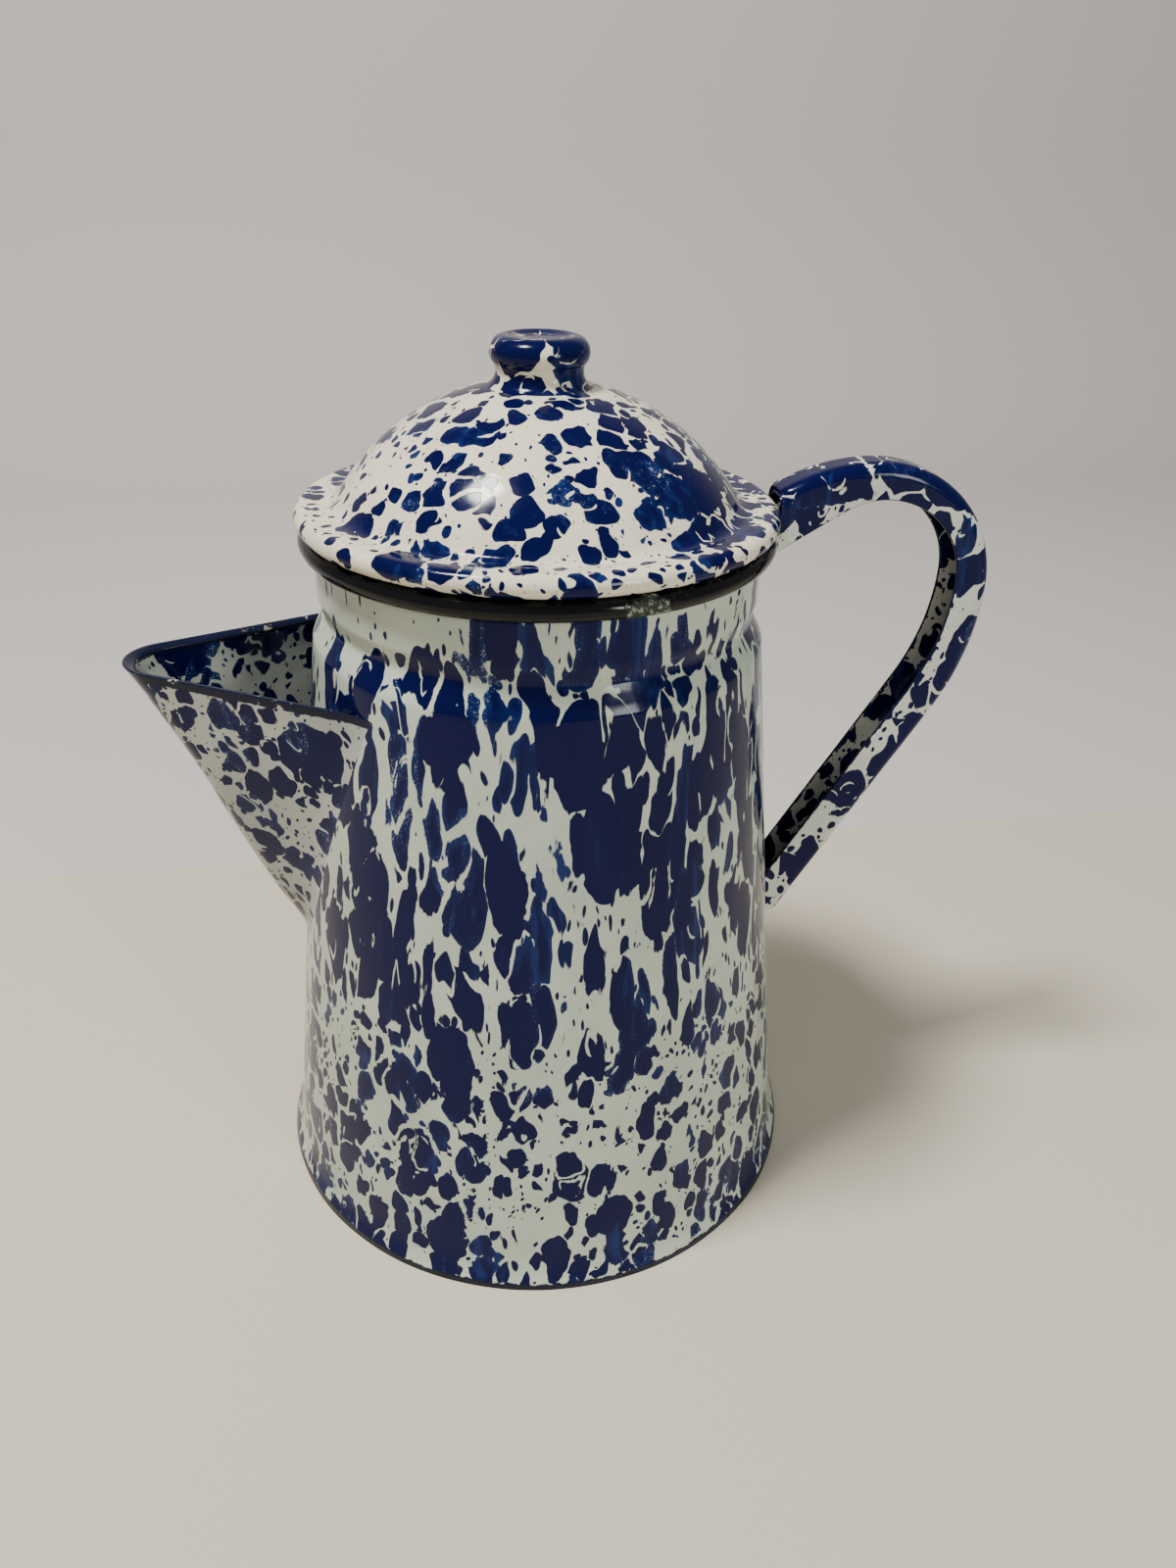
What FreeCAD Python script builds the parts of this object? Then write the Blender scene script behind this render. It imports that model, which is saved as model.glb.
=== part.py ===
import FreeCAD
import Part
import Sketcher
import math
import os

# Enamelled coffee percolator: a tapered pot with a wired rim, a folded V spout and a
# channel-section handle, a domed lid with a pressed knob, and a lift-out percolating insert.
# +Z is up. The origin is on the pot's axis at the plane that it stands on. The spout points
# along -X and the handle along +X, so the XZ plane is the mirror plane. Sizes are millimetres.

doc = FreeCAD.newDocument("percolator")

dimensions = {
    # pot wall
    "wall": 1.2,
    "foot_radius": 75.0,
    "flare_radius": 72.36,
    "flare_height": 8.0,
    "flare_bend": 13.0,
    "shoulder_radius": 56.15,
    "shoulder_height": 157.9,
    "waist_radius": 52.75,
    "waist_height": 164.3,
    "neck_radius": 54.2,
    "neck_height": 169.0,
    "neck_top": 179.6,
    "shoulder_bend": 4.0,
    "waist_bend": 3.0,
    # strainer behind the spout
    "strainer_hole": 2.4,
    "strainer_pitch": 8.0,
    "strainer_low": 92.0,
    # rolled rim
    "rim_radius": 55.0,
    "rim_height": 182.0,
    "rim_roll": 2.5,
    "wire_radius": 1.5,
    # base
    "plate_flat": 68.0,
    "plate_lift": 1.6,
    "plate_seat": 72.75,
    "plate_top": 71.16,
    "plate_flange": 7.0,
    # spout: keel reach, half angle and nose radius at five heights
    "spout_wall": 1.2,
    "spout_foot": 74.0,
    "spout_low": 86.4,
    "spout_mid": 104.2,
    "spout_high": 128.1,
    "spout_top": 156.0,
    "foot_reach": 65.6,
    "low_reach": 72.6,
    "mid_reach": 80.3,
    "high_reach": 90.0,
    "top_reach": 104.2,
    "foot_half": 56.0,
    "low_half": 42.0,
    "mid_half": 33.8,
    "high_half": 29.2,
    "top_half": 26.6,
    "foot_seam": 4.0,
    "low_seam": 14.4,
    "mid_seam": 21.3,
    "high_seam": 30.4,
    "top_seam": 42.0,
    "foot_nose": 14.0,
    "nose_radius": 14.0,
    "lip_nose": 10.5,
    "spout_inset": 6.0,
    "mouth_height": 150.4,
    "mouth_rise": 2.0,
    # handle
    "strap_width": 12.0,
    "strap_sheet": 1.1,
    "strap_edge": 3.4,
    "back_crown_x": 83.5,
    "back_crown_z": 198.0,
    "back_upper": 50.0,
    "back_upper_turn": 31.0,
    "back_bend": 33.5,
    "back_lower": 68.0,
    "strap_lean": 31.0,
    "strap_end": 67.0,
    "lip_crown_x": 85.3,
    "lip_crown_z": 189.0,
    "lip_upper": 20.0,
    "lip_bend": 22.0,
    "lip_lower": 58.0,
    "lip_end": 78.0,
    "strap_inset": 4.0,
    "lid_gap": 0.8,
    # lid
    "lid_sheet": 1.1,
    "dome_radius": 56.7,
    "dome_centre": 160.5,
    "flange_height": 189.95,
    "gutter_bend": 2.5,
    "vent_radius": 1.5,
    "curl_radius": 2.6,
    "curl_centre": 55.3,
    "collar_radius": 51.2,
    "collar_sheet": 0.9,
    "collar_low": 173.0,
    "collar_high": 188.8,
    # knob
    "knob_foot": 12.2,
    "knob_neck": 10.3,
    "knob_belly": 11.6,
    "knob_roll": 3.6,
    "knob_hollow": 4.6,
    "neck_level": 219.2,
    "belly_level": 223.3,
    "knob_height": 226.9,
    "knob_dish": 0.7,
    # pump
    "tube_radius": 4.0,
    "tube_sheet": 0.8,
    "tube_low": 11.0,
    "tube_high": 198.0,
    "bell_radius": 34.0,
    "bell_low": 1.6,
    "bell_rim": 4.0,
    "bell_neck": 19.0,
    "bell_high": 26.0,
    "bell_sheet": 1.0,
    "press_gap": 0.05,
    "notch_width": 9.0,
    "notch_height": 2.2,
    "notch_count": 6,
    "cage_radius": 7.6,
    "cage_low": 5.4,
    "cage_high": 15.0,
    "cage_sheet": 0.8,
    "seat_hole": 3.0,
    "disc_radius": 5.6,
    "disc_sheet": 1.0,
    "disc_gap": 0.1,
    "stop_radius": 7.0,
    "stop_low": 98.0,
    "stop_length": 4.0,
    # basket
    "basket_radius": 42.0,
    "basket_sheet": 0.9,
    "basket_low": 102.3,
    "basket_high": 157.0,
    "basket_roll": 1.6,
    "basket_corner": 5.0,
    "sleeve_radius": 5.3,
    "sleeve_sheet": 0.8,
    "sleeve_high": 154.0,
    "drain_hole": 1.3,
    "ring_pitch": 7.5,
    # spreader
    "spreader_radius": 44.9,
    "spreader_sheet": 0.9,
    "spreader_seat": 157.4,
    "spreader_skirt": 4.0,
    "spreader_land": 7.0,
    "spreader_crown": 3.2,
    "ferrule_radius": 5.4,
    "ferrule_sheet": 0.8,
    "ferrule_length": 8.0,
}


class Size:
    # A length or angle that knows its value and the sheet expression that gives it.
    def __init__(self, value, text):
        self.value = value
        self.text = text

    def __add__(self, other):
        other = as_size(other)
        return Size(self.value + other.value, f"({self.text} + {other.text})")

    def __sub__(self, other):
        other = as_size(other)
        return Size(self.value - other.value, f"({self.text} - {other.text})")

    def __mul__(self, other):
        other = as_size(other)
        return Size(self.value * other.value, f"({self.text} * {other.text})")

    def __truediv__(self, other):
        other = as_size(other)
        return Size(self.value / other.value, f"({self.text} / {other.text})")

    def __neg__(self):
        return Size(-self.value, f"(0 - {self.text})")


def as_size(number):
    if isinstance(number, Size):
        return number
    return Size(float(number), repr(float(number)))


def sine(angle):
    angle = as_size(angle)
    return Size(math.sin(math.radians(angle.value)), f"sin({angle.text})")


def cosine(angle):
    angle = as_size(angle)
    return Size(math.cos(math.radians(angle.value)), f"cos({angle.text})")


def tangent(angle):
    return sine(angle) / cosine(angle)


def root(number):
    return Size(math.sqrt(number.value), f"sqrt({number.text})")


def make_sheet():
    sheet = doc.addObject("Spreadsheet::Sheet", "sizes")
    for row, (alias, value) in enumerate(dimensions.items(), start=1):
        sheet.set(f"A{row}", alias.replace("_", " "))
        sheet.set(f"B{row}", str(value))
        sheet.setAlias(f"B{row}", alias)
    doc.recompute()
    return {alias: Size(float(value), f"<<sizes>>.{alias}") for alias, value in dimensions.items()}


size = make_sheet()


def make_body(label):
    body = doc.addObject("PartDesign::Body", label)
    body.Label = label
    return body


def make_sketch(body, name, role, height=None):
    sketch = body.newObject("Sketcher::SketchObject", name)
    plane = next(part for part in body.Origin.OriginFeatures if part.Role == role)
    sketch.AttachmentSupport = [(plane, "")]
    sketch.MapMode = "FlatFace"
    if height is not None:
        sketch.AttachmentOffset = FreeCAD.Placement(
            FreeCAD.Vector(0, 0, as_size(height).value), FreeCAD.Rotation()
        )
        bind(sketch, "AttachmentOffset.Base.z", height)
    return sketch


def bind(thing, name, value):
    if isinstance(value, Size):
        thing.setExpression(name, value.text)


def fix(sketch, constraint, value):
    index = sketch.addConstraint(constraint)
    bind(sketch, f"Constraints[{index}]", value)


def place_point(sketch, geometry, point, x, y):
    # A point is held at x, y from the sketch's origin; on an axis it is held on that axis.
    x, y = as_size(x), as_size(y)
    if abs(x.value) < 1e-9:
        sketch.addConstraint(Sketcher.Constraint("PointOnObject", geometry, point, -2))
    else:
        fix(sketch, Sketcher.Constraint("DistanceX", -1, 1, geometry, point, x.value), x)
    if abs(y.value) < 1e-9:
        sketch.addConstraint(Sketcher.Constraint("PointOnObject", geometry, point, -1))
    else:
        fix(sketch, Sketcher.Constraint("DistanceY", -1, 1, geometry, point, y.value), y)


def arc_between(start, end, radius, turn):
    # The minor arc from start to end, turning left (+1) or right (-1).
    chord = end - start
    half = chord.Length / 2
    rise = math.sqrt(max(radius * radius - half * half, 0.0))
    side = FreeCAD.Vector(-chord.y, chord.x, 0).normalize() * (rise * turn)
    centre = start + chord * 0.5 + side
    first, last = (start, end) if turn > 0 else (end, start)
    begin = math.atan2(first.y - centre.y, first.x - centre.x)
    finish = math.atan2(last.y - centre.y, last.x - centre.x)
    if finish < begin:
        finish += 2 * math.pi
    circle = Part.Circle(centre, FreeCAD.Vector(0, 0, 1), radius)
    return Part.ArcOfCircle(circle, begin, finish)


def draw_outline(sketch, corners):
    # Each corner is (x, y) for a straight run to it, or (x, y, radius, turn) for an arc.
    # The outline closes from the last corner back to the first.
    points = [FreeCAD.Vector(as_size(c[0]).value, as_size(c[1]).value, 0) for c in corners]
    starts = []
    for index, corner in enumerate(corners):
        before, here = points[index - 1], points[index]
        if len(corner) == 4:
            radius, turn = as_size(corner[2]), corner[3]
            geometry = sketch.addGeometry(arc_between(before, here, radius.value, turn))
            fix(sketch, Sketcher.Constraint("Radius", geometry, radius.value), radius)
            ends = (1, 2) if turn > 0 else (2, 1)
        else:
            geometry = sketch.addGeometry(Part.LineSegment(before, here))
            ends = (1, 2)
        place_point(sketch, geometry, ends[1], corner[0], corner[1])
        starts.append((geometry, ends))
    for index, (geometry, ends) in enumerate(starts):
        last, last_ends = starts[index - 1]
        sketch.addConstraint(
            Sketcher.Constraint("Coincident", last, last_ends[1], geometry, ends[0])
        )


def draw_circle(sketch, x, y, radius):
    centre = FreeCAD.Vector(as_size(x).value, as_size(y).value, 0)
    radius = as_size(radius)
    circle = Part.Circle(centre, FreeCAD.Vector(0, 0, 1), radius.value)
    geometry = sketch.addGeometry(circle)
    place_point(sketch, geometry, 3, x, y)
    fix(sketch, Sketcher.Constraint("Radius", geometry, radius.value), radius)


def turn_outline(body, name, corners, kind="PartDesign::Revolution"):
    # Revolves an outline in the XZ plane about the pot's axis, adding or cutting.
    sketch = make_sketch(body, f"{name}_outline", "XZ_Plane")
    draw_outline(sketch, corners)
    return turn_sketch(body, name, sketch, kind)


def turn_sketch(body, name, sketch, kind="PartDesign::Revolution"):
    feature = body.newObject(kind, name)
    feature.Profile = sketch
    feature.ReferenceAxis = (sketch, ["V_Axis"])
    feature.Angle = 360
    doc.recompute()
    return feature


def round_edges(body, name, base, radius, wanted):
    # Fillets the edges of a feature that the test picks.
    names = [f"Edge{i}" for i, edge in enumerate(base.Shape.Edges, start=1) if wanted(edge)]
    fillet = body.newObject("PartDesign::Fillet", name)
    fillet.Base = (base, names)
    fillet.Radius = as_size(radius).value
    bind(fillet, "Radius", radius)
    doc.recompute()
    return fillet


def ring_at(*places):
    # Picks circular edges by their radius and height.
    def wanted(edge):
        if not isinstance(edge.Curve, Part.Circle):
            return False
        radius, height = edge.Curve.Radius, edge.Curve.Center.z
        near = (abs(radius - r.value) + abs(height - z.value) for r, z in places)
        return any(distance < 0.02 for distance in near)
    return wanted


def cut_must_remove(before, feature):
    # A cut that points away from the solid removes nothing and raises no error.
    doc.recompute()
    if feature.Shape.Volume > before - 0.5:
        raise RuntimeError(f"{feature.Name} removed nothing")


def make_pocket(body, name, sketch, length=None, midplane=False, reverse=False):
    before = body.Shape.Volume
    pocket = body.newObject("PartDesign::Pocket", name)
    pocket.Profile = sketch
    pocket.Type = "Length"
    pocket.Length = as_size(length).value
    bind(pocket, "Length", length)
    pocket.Midplane = midplane
    pocket.Reversed = reverse
    cut_must_remove(before, pocket)
    return pocket


def make_pattern(body, name, original, sketch, count):
    before = body.Shape.Volume
    pattern = body.newObject("PartDesign::PolarPattern", name)
    pattern.Originals = [original]
    pattern.Axis = (sketch, ["N_Axis"])
    pattern.Angle = 360
    pattern.Occurrences = int(as_size(count).value)
    bind(pattern, "Occurrences", count)
    body.Tip = pattern
    cut_must_remove(before, pattern)
    return pattern


def perforate(body, rings, hole, height, depth):
    # Drills rings of round holes, each ring as (radius, count), from height downwards.
    for index, (radius, count) in enumerate(rings, start=1):
        sketch = make_sketch(body, f"{body.Label}_hole_{index}", "XY_Plane", height)
        draw_circle(sketch, radius, 0, hole)
        pocket = make_pocket(body, f"{body.Label}_drill_{index}", sketch, length=depth)
        make_pattern(body, f"{body.Label}_ring_{index}", pocket, sketch, count)


def wall_radius(height):
    # Outer radius of the pot's straight cone at a height.
    fall = (height - size["flare_height"]) / (size["shoulder_height"] - size["flare_height"])
    return size["flare_radius"] - (size["flare_radius"] - size["shoulder_radius"]) * fall


def make_pot_body():
    body = make_body("pot_body")
    s = size
    wall = s["wall"]
    outer = [
        (s["foot_radius"], 0),
        (s["flare_radius"], s["flare_height"], s["flare_bend"], -1),
        (s["shoulder_radius"], s["shoulder_height"]),
        (s["waist_radius"], s["waist_height"]),
        (s["neck_radius"], s["neck_height"]),
        (s["neck_radius"], s["neck_top"]),
    ]
    inner = [
        (s["neck_radius"] - wall, s["neck_top"]),
        (s["neck_radius"] - wall, s["neck_height"]),
        (s["waist_radius"] - wall, s["waist_height"]),
        (s["shoulder_radius"] - wall, s["shoulder_height"]),
        (s["flare_radius"] - wall, s["flare_height"]),
        (s["foot_radius"] - wall, 0, s["flare_bend"] + wall, 1),
    ]
    shell = turn_outline(body, "pot_wall", outer + inner)
    shoulders = ring_at(outer[2], inner[3], outer[4], inner[1])
    shouldered = round_edges(body, "pot_shoulder", shell, s["shoulder_bend"], shoulders)
    waists = ring_at(outer[3], inner[2])
    round_edges(body, "pot_waist", shouldered, s["waist_bend"], waists)

    # rows of round holes through the wall behind the spout, wider towards the top
    sketch = make_sketch(body, "strainer_holes", "YZ_Plane")
    for row, count in enumerate((2, 3, 4, 5, 4)):
        height = s["strainer_low"] + s["strainer_pitch"] * row
        for place in range(count):
            across = s["strainer_pitch"] * (place - (count - 1) / 2)
            draw_circle(sketch, across, height, s["strainer_hole"])
    make_pocket(body, "strainer", sketch, length=s["foot_radius"])
    return body


def make_base_plate():
    # Flat disc, turned up inside the flared foot.
    body = make_body("base_plate")
    s = size
    sheet, flat, lift, flange = s["wall"], s["plate_flat"], s["plate_lift"], s["plate_flange"]
    bend = s["flare_bend"] + sheet
    mitre = sheet * tangent(45 / 2)
    turn_outline(body, "plate", [
        (0, 0),
        (flat, 0),
        (flat + lift, lift),
        (s["plate_seat"], lift),
        (s["plate_top"], flange, bend, -1),
        (s["plate_top"] - sheet, flange),
        (s["plate_seat"] - sheet, lift + sheet, bend + sheet, 1),
        (flat + lift - mitre, lift + sheet),
        (flat - mitre, sheet),
        (0, sheet),
    ])
    return body


def make_rim():
    # Rolled edge of the mouth, closed round a wire.
    body = make_body("rim_bead")
    s = size
    sketch = make_sketch(body, "rim_section", "XZ_Plane")
    draw_circle(sketch, s["rim_radius"], s["rim_height"], s["rim_roll"])
    draw_circle(sketch, s["rim_radius"], s["rim_height"], s["wire_radius"] + s["press_gap"])
    turn_sketch(body, "rim", sketch)
    wire = doc.addObject("Part::Torus", "rim_wire")
    wire.Label = "rim_wire"
    wire.setExpression("Radius1", s["rim_radius"].text)
    wire.setExpression("Radius2", s["wire_radius"].text)
    wire.setExpression("Placement.Base.z", s["rim_height"].text)
    return [body, wire]


def spout_section(body, name, height, reach, half, seam, nose, inset):
    # Plan section of the V: two straight sides that meet in a round nose at -X. The sides run
    # inwards past the pot's wall, which trims them later. inset moves the whole V inwards.
    s = size
    centre = nose - reach
    radius = nose - inset
    side_x = centre - radius * sine(half)
    side_y = radius * cosine(half)
    back = s["spout_inset"] - wall_radius(height) * cosine(seam) + inset * 2
    back_y = side_y + (back - side_x) * tangent(half)
    sketch = make_sketch(body, name, "XY_Plane", height)
    draw_outline(sketch, [
        (back, back_y),
        (side_x, side_y),
        (side_x, -side_y, radius, 1),
        (back, -back_y),
    ])
    return sketch


def loft_spout(body, name, kind, inset):
    s = size
    stations = (
        ("foot", "foot_nose", "spout_foot"),
        ("low", "nose_radius", "spout_low"),
        ("mid", "nose_radius", "spout_mid"),
        ("high", "nose_radius", "spout_high"),
        ("top", "lip_nose", "spout_top"),
    )
    sections = []
    for key, nose, height in stations:
        sections.append(spout_section(
            body, f"{name}_{key}", s[height], s[f"{key}_reach"], s[f"{key}_half"],
            s[f"{key}_seam"], s[nose], inset,
        ))
    loft = body.newObject(kind, name)
    loft.Profile = sections[0]
    loft.Sections = [(section, [""]) for section in sections[1:]]
    doc.recompute()
    return loft


def make_spout():
    # Sheet folded into an open V, welded to the wall along both edges.
    body = make_body("spout_shell")
    s = size
    loft_spout(body, "spout_outside", "PartDesign::AdditiveLoft", as_size(0))
    before = body.Shape.Volume
    hollow = loft_spout(body, "spout_inside", "PartDesign::SubtractiveLoft", s["spout_wall"])
    cut_must_remove(before, hollow)
    trim = make_sketch(body, "mouth_line", "XZ_Plane")
    far, near, above = -s["top_reach"] - 10, as_size(-20), s["spout_top"] + 20
    draw_outline(trim, [
        (near, s["mouth_height"]),
        (near, above),
        (far, above),
        (far, s["mouth_height"] + s["mouth_rise"]),
    ])
    make_pocket(body, "spout_mouth", trim, length=s["foot_radius"] * 2, midplane=True)
    before = body.Shape.Volume
    cut = turn_outline(body, "spout_seam", [
        (0, 20),
        (wall_radius(as_size(20)), 20),
        (s["shoulder_radius"], s["shoulder_height"]),
        (0, s["shoulder_height"]),
    ], "PartDesign::Groove")
    cut_must_remove(before, cut)
    return body


def strap_curve(crown_x, crown_z, bend, lower, lean):
    # A strap line below its crown: the bend at the top ends at its side, and the long lower
    # arc ends where the straight part begins.
    side = (crown_x + bend, crown_z - bend)
    straight = (side[0] - lower + lower * cosine(lean), side[1] - lower * sine(lean))
    return side, straight


def strap_back(offset):
    # The strap's back from the pot over the crown to its lower end, moved inwards by offset.
    s = size
    lean, turn = s["strap_lean"], s["back_upper_turn"]
    crown_x, crown_z = s["back_crown_x"], s["back_crown_z"] - offset
    upper, bend, lower = (s[name] - offset for name in ("back_upper", "back_bend", "back_lower"))
    side, straight = strap_curve(crown_x, crown_z, bend, lower, lean)
    return [
        (crown_x - upper * sine(turn), crown_z - upper + upper * cosine(turn)),
        (crown_x, crown_z, upper, -1),
        (side[0], side[1], bend, -1),
        (straight[0], straight[1], lower, -1),
        (straight[0] - (straight[1] - s["strap_end"]) * tangent(lean), s["strap_end"]),
    ]


def strap_lip():
    # The free edges of the channel, from the lower end back over the crown to the neck.
    s = size
    lean, upper = s["strap_lean"], s["lip_upper"]
    crown_x, crown_z = s["lip_crown_x"], s["lip_crown_z"]
    side, straight = strap_curve(crown_x, crown_z, s["lip_bend"], s["lip_lower"], lean)
    start_x, start_z = crown_x - upper * sine(lean), crown_z - upper + upper * cosine(lean)
    inside = s["neck_radius"] - s["strap_inset"]
    return [
        (inside, s["lip_end"]),
        (straight[0] - (straight[1] - s["lip_end"]) * tangent(lean), s["lip_end"]),
        straight,
        (side[0], side[1], s["lip_lower"], 1),
        (crown_x, crown_z, s["lip_bend"], 1),
        (start_x, start_z, upper, 1),
        (inside, start_z - (start_x - inside) * tangent(lean)),
    ]


def along(corners, half_width):
    # Picks the edges at y = +/- half_width that join neighbouring corners of an outline.
    places = [(as_size(c[0]).value, as_size(c[1]).value) for c in corners]

    def wanted(edge):
        ends = [vertex.Point for vertex in edge.Vertexes]
        if len(ends) != 2 or any(abs(abs(end.y) - half_width.value) > 0.01 for end in ends):
            return False
        if ends[0].y * ends[1].y < 0:
            return False
        hits = [i for end in ends for i, p in enumerate(places)
                if abs(p[0] - end.x) + abs(p[1] - end.z) < 0.01]
        return len(hits) == 2 and abs(hits[0] - hits[1]) == 1
    return wanted


def make_handle():
    # Channel of folded sheet, open towards the pot, welded to the neck and to the lower wall.
    body = make_body("handle_strap")
    s = size
    inside = s["neck_radius"] - s["strap_inset"]
    back = strap_back(as_size(0))
    foot = (inside, s["strap_end"] - (s["foot_radius"] - inside) * 0.5)
    block = make_sketch(body, "strap_side", "XZ_Plane")
    draw_outline(block, back + [foot] + strap_lip() + [(inside, back[0][1])])
    pad = body.newObject("PartDesign::Pad", "strap_block")
    pad.Profile = block
    pad.Midplane = True
    pad.Length = s["strap_width"].value
    bind(pad, "Length", s["strap_width"])
    doc.recompute()
    half = s["strap_width"] / 2
    round_edges(body, "strap_corners", pad, s["strap_edge"], along(back, half))

    # inside of the channel
    inner_back = strap_back(s["strap_sheet"])
    inner = make_sketch(body, "strap_inside", "XZ_Plane")
    lowest = (inside, foot[1] - 5)
    draw_outline(inner, inner_back + [lowest, (inside, inner_back[0][1])])
    inner_width = s["strap_width"] - s["strap_sheet"] * 2
    hollow = make_pocket(body, "strap_hollow", inner, length=inner_width, midplane=True)
    inner_edge = s["strap_edge"] - s["strap_sheet"]
    round_edges(body, "strap_inner_corners", hollow, inner_edge, along(inner_back, inner_width / 2))

    # cut to the pot's outside, and clear of the rim and the lid above the neck
    before = body.Shape.Volume
    clear = s["curl_centre"] + s["curl_radius"] + s["lid_gap"]
    cut = turn_outline(body, "strap_seam", [
        (0, 20),
        (wall_radius(as_size(20)), 20),
        (s["shoulder_radius"], s["shoulder_height"]),
        (s["neck_radius"], s["neck_height"]),
        (s["neck_radius"], s["rim_height"] - s["rim_roll"] - s["lid_gap"]),
        (clear, s["rim_height"] - s["rim_roll"]),
        (clear, s["knob_height"]),
        (0, s["knob_height"]),
    ], "PartDesign::Groove")
    cut_must_remove(before, cut)
    return body


def dome_height(radius, drop=0):
    # Height of the lid's dome at a radius, drop below its outer surface.
    sphere = size["dome_radius"] - drop
    return size["dome_centre"] + root(sphere * sphere - radius * radius)


def make_lid_shell():
    # Dome, flat flange and an edge curled under, which rests on the pot's rim. The small hole
    # at the crown opens into the hollow knob.
    body = make_body("lid_shell")
    s = size
    sheet, curl, centre = s["lid_sheet"], s["curl_radius"], s["curl_centre"]
    flange, dome, level = s["flange_height"], s["dome_radius"], s["dome_centre"]
    inner, small = dome - sheet, curl - sheet
    edge = root(dome * dome - (flange - level) * (flange - level))
    under = flange - sheet
    inner_edge = root(inner * inner - (under - level) * (under - level))
    middle = flange - curl
    vent = s["vent_radius"]
    shell = turn_outline(body, "lid", [
        (vent, dome_height(vent)),
        (edge, flange, dome, -1),
        (centre, flange),
        (centre + curl, middle, curl, -1),
        (centre, middle - curl, curl, -1),
        (centre, middle - small),
        (centre + small, middle, small, 1),
        (centre, under, small, 1),
        (inner_edge, under),
        (vent, dome_height(vent, sheet), inner, 1),
    ])
    corners = ring_at((edge, flange), (inner_edge, under))
    round_edges(body, "lid_gutter", shell, s["gutter_bend"], corners)
    return body


def make_tube(label, bore, outer, low, high):
    # A plain ring or tube on the pot's axis.
    body = make_body(label)
    turn_outline(body, f"{label}_turn", [(bore, low), (outer, low), (outer, high), (bore, high)])
    return body


def make_knob():
    # Hollow pressing with a flared waist, a round belly and a dished top, welded to the dome.
    body = make_body("lid_knob")
    s = size
    sheet, roll, hollow = s["lid_sheet"], s["knob_roll"], s["knob_hollow"]
    foot, neck, neck_level = s["knob_foot"], s["knob_neck"], s["neck_level"]
    centre, level = s["knob_belly"] - roll, s["belly_level"]
    top = s["knob_height"] - s["knob_dish"]
    inner = roll - sheet
    slant, inner_slant = roll * cosine(45), inner * cosine(45)
    turn_outline(body, "knob", [
        (foot, dome_height(foot)),
        (neck, neck_level, hollow, -1),
        (centre + slant, level - slant),
        (centre + roll, level, roll, 1),
        (centre, level + roll, roll, 1),
        (centre - roll / 2, top),
        (0, top),
        (0, top - sheet),
        (centre - roll / 2, top - sheet),
        (centre, level + inner),
        (centre + inner, level, inner, -1),
        (centre + inner_slant, level - inner_slant, inner, -1),
        (neck - sheet, neck_level),
        (foot - sheet, dome_height(foot - sheet), hollow + sheet, 1),
    ])
    return body


def make_bell():
    # Flared foot of the pump, with notches at its rim that let the water in.
    body = make_body("pump_bell")
    s = size
    sheet = s["bell_sheet"]
    bore = s["tube_radius"] + s["press_gap"]
    rim = s["bell_radius"]
    mitre = sheet * 0.6
    turn_outline(body, "bell", [
        (rim, s["bell_low"]),
        (rim, s["bell_rim"]),
        (bore + sheet, s["bell_neck"]),
        (bore + sheet, s["bell_high"]),
        (bore, s["bell_high"]),
        (bore, s["bell_neck"] - mitre),
        (rim - sheet, s["bell_rim"] - mitre),
        (rim - sheet, s["bell_low"]),
    ])
    notch = make_sketch(body, "bell_notch", "YZ_Plane")
    half = s["notch_width"] / 2
    low, high = s["bell_low"] - 1, s["bell_low"] + s["notch_height"]
    draw_outline(notch, [(-half, low), (half, low), (half, high), (-half, high)])
    pocket = make_pocket(body, "bell_notch_cut", notch, length=s["foot_radius"])
    pattern = body.newObject("PartDesign::PolarPattern", "bell_notches")
    pattern.Originals = [pocket]
    pattern.Axis = (notch, ["V_Axis"])
    pattern.Angle = 360
    pattern.Occurrences = int(s["notch_count"].value)
    bind(pattern, "Occurrences", s["notch_count"])
    body.Tip = pattern
    doc.recompute()
    return body


def make_pump():
    # Tube, bell, stop ring and the valve at the tube's lower end with its loose disc.
    s = size
    gap = s["press_gap"]
    tube = make_tube(
        "pump_tube", s["tube_radius"] - s["tube_sheet"], s["tube_radius"],
        s["tube_low"], s["tube_high"],
    )
    bore = s["tube_radius"] + gap
    stop = make_tube(
        "stem_stop", bore, s["stop_radius"], s["stop_low"], s["stop_low"] + s["stop_length"]
    )
    cage = make_body("valve_cage")
    wall = s["cage_radius"] - s["cage_sheet"]
    turn_outline(cage, "cage", [
        (bore, s["cage_high"]),
        (s["cage_radius"], s["cage_high"]),
        (s["cage_radius"], s["cage_low"]),
        (wall, s["cage_low"]),
        (wall, s["cage_high"] - s["cage_sheet"]),
        (bore, s["cage_high"] - s["cage_sheet"]),
    ])
    seat_top = s["cage_low"] + s["cage_sheet"]
    seat = make_tube("valve_seat", s["seat_hole"], wall - gap, s["cage_low"], seat_top)
    disc = doc.addObject("Part::Cylinder", "valve_disc")
    disc.Label = "valve_disc"
    disc.setExpression("Radius", s["disc_radius"].text)
    disc.setExpression("Height", s["disc_sheet"].text)
    disc.setExpression("Placement.Base.z", (seat_top + s["disc_gap"]).text)
    return [tube, make_bell(), stop, cage, seat, disc]


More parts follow.
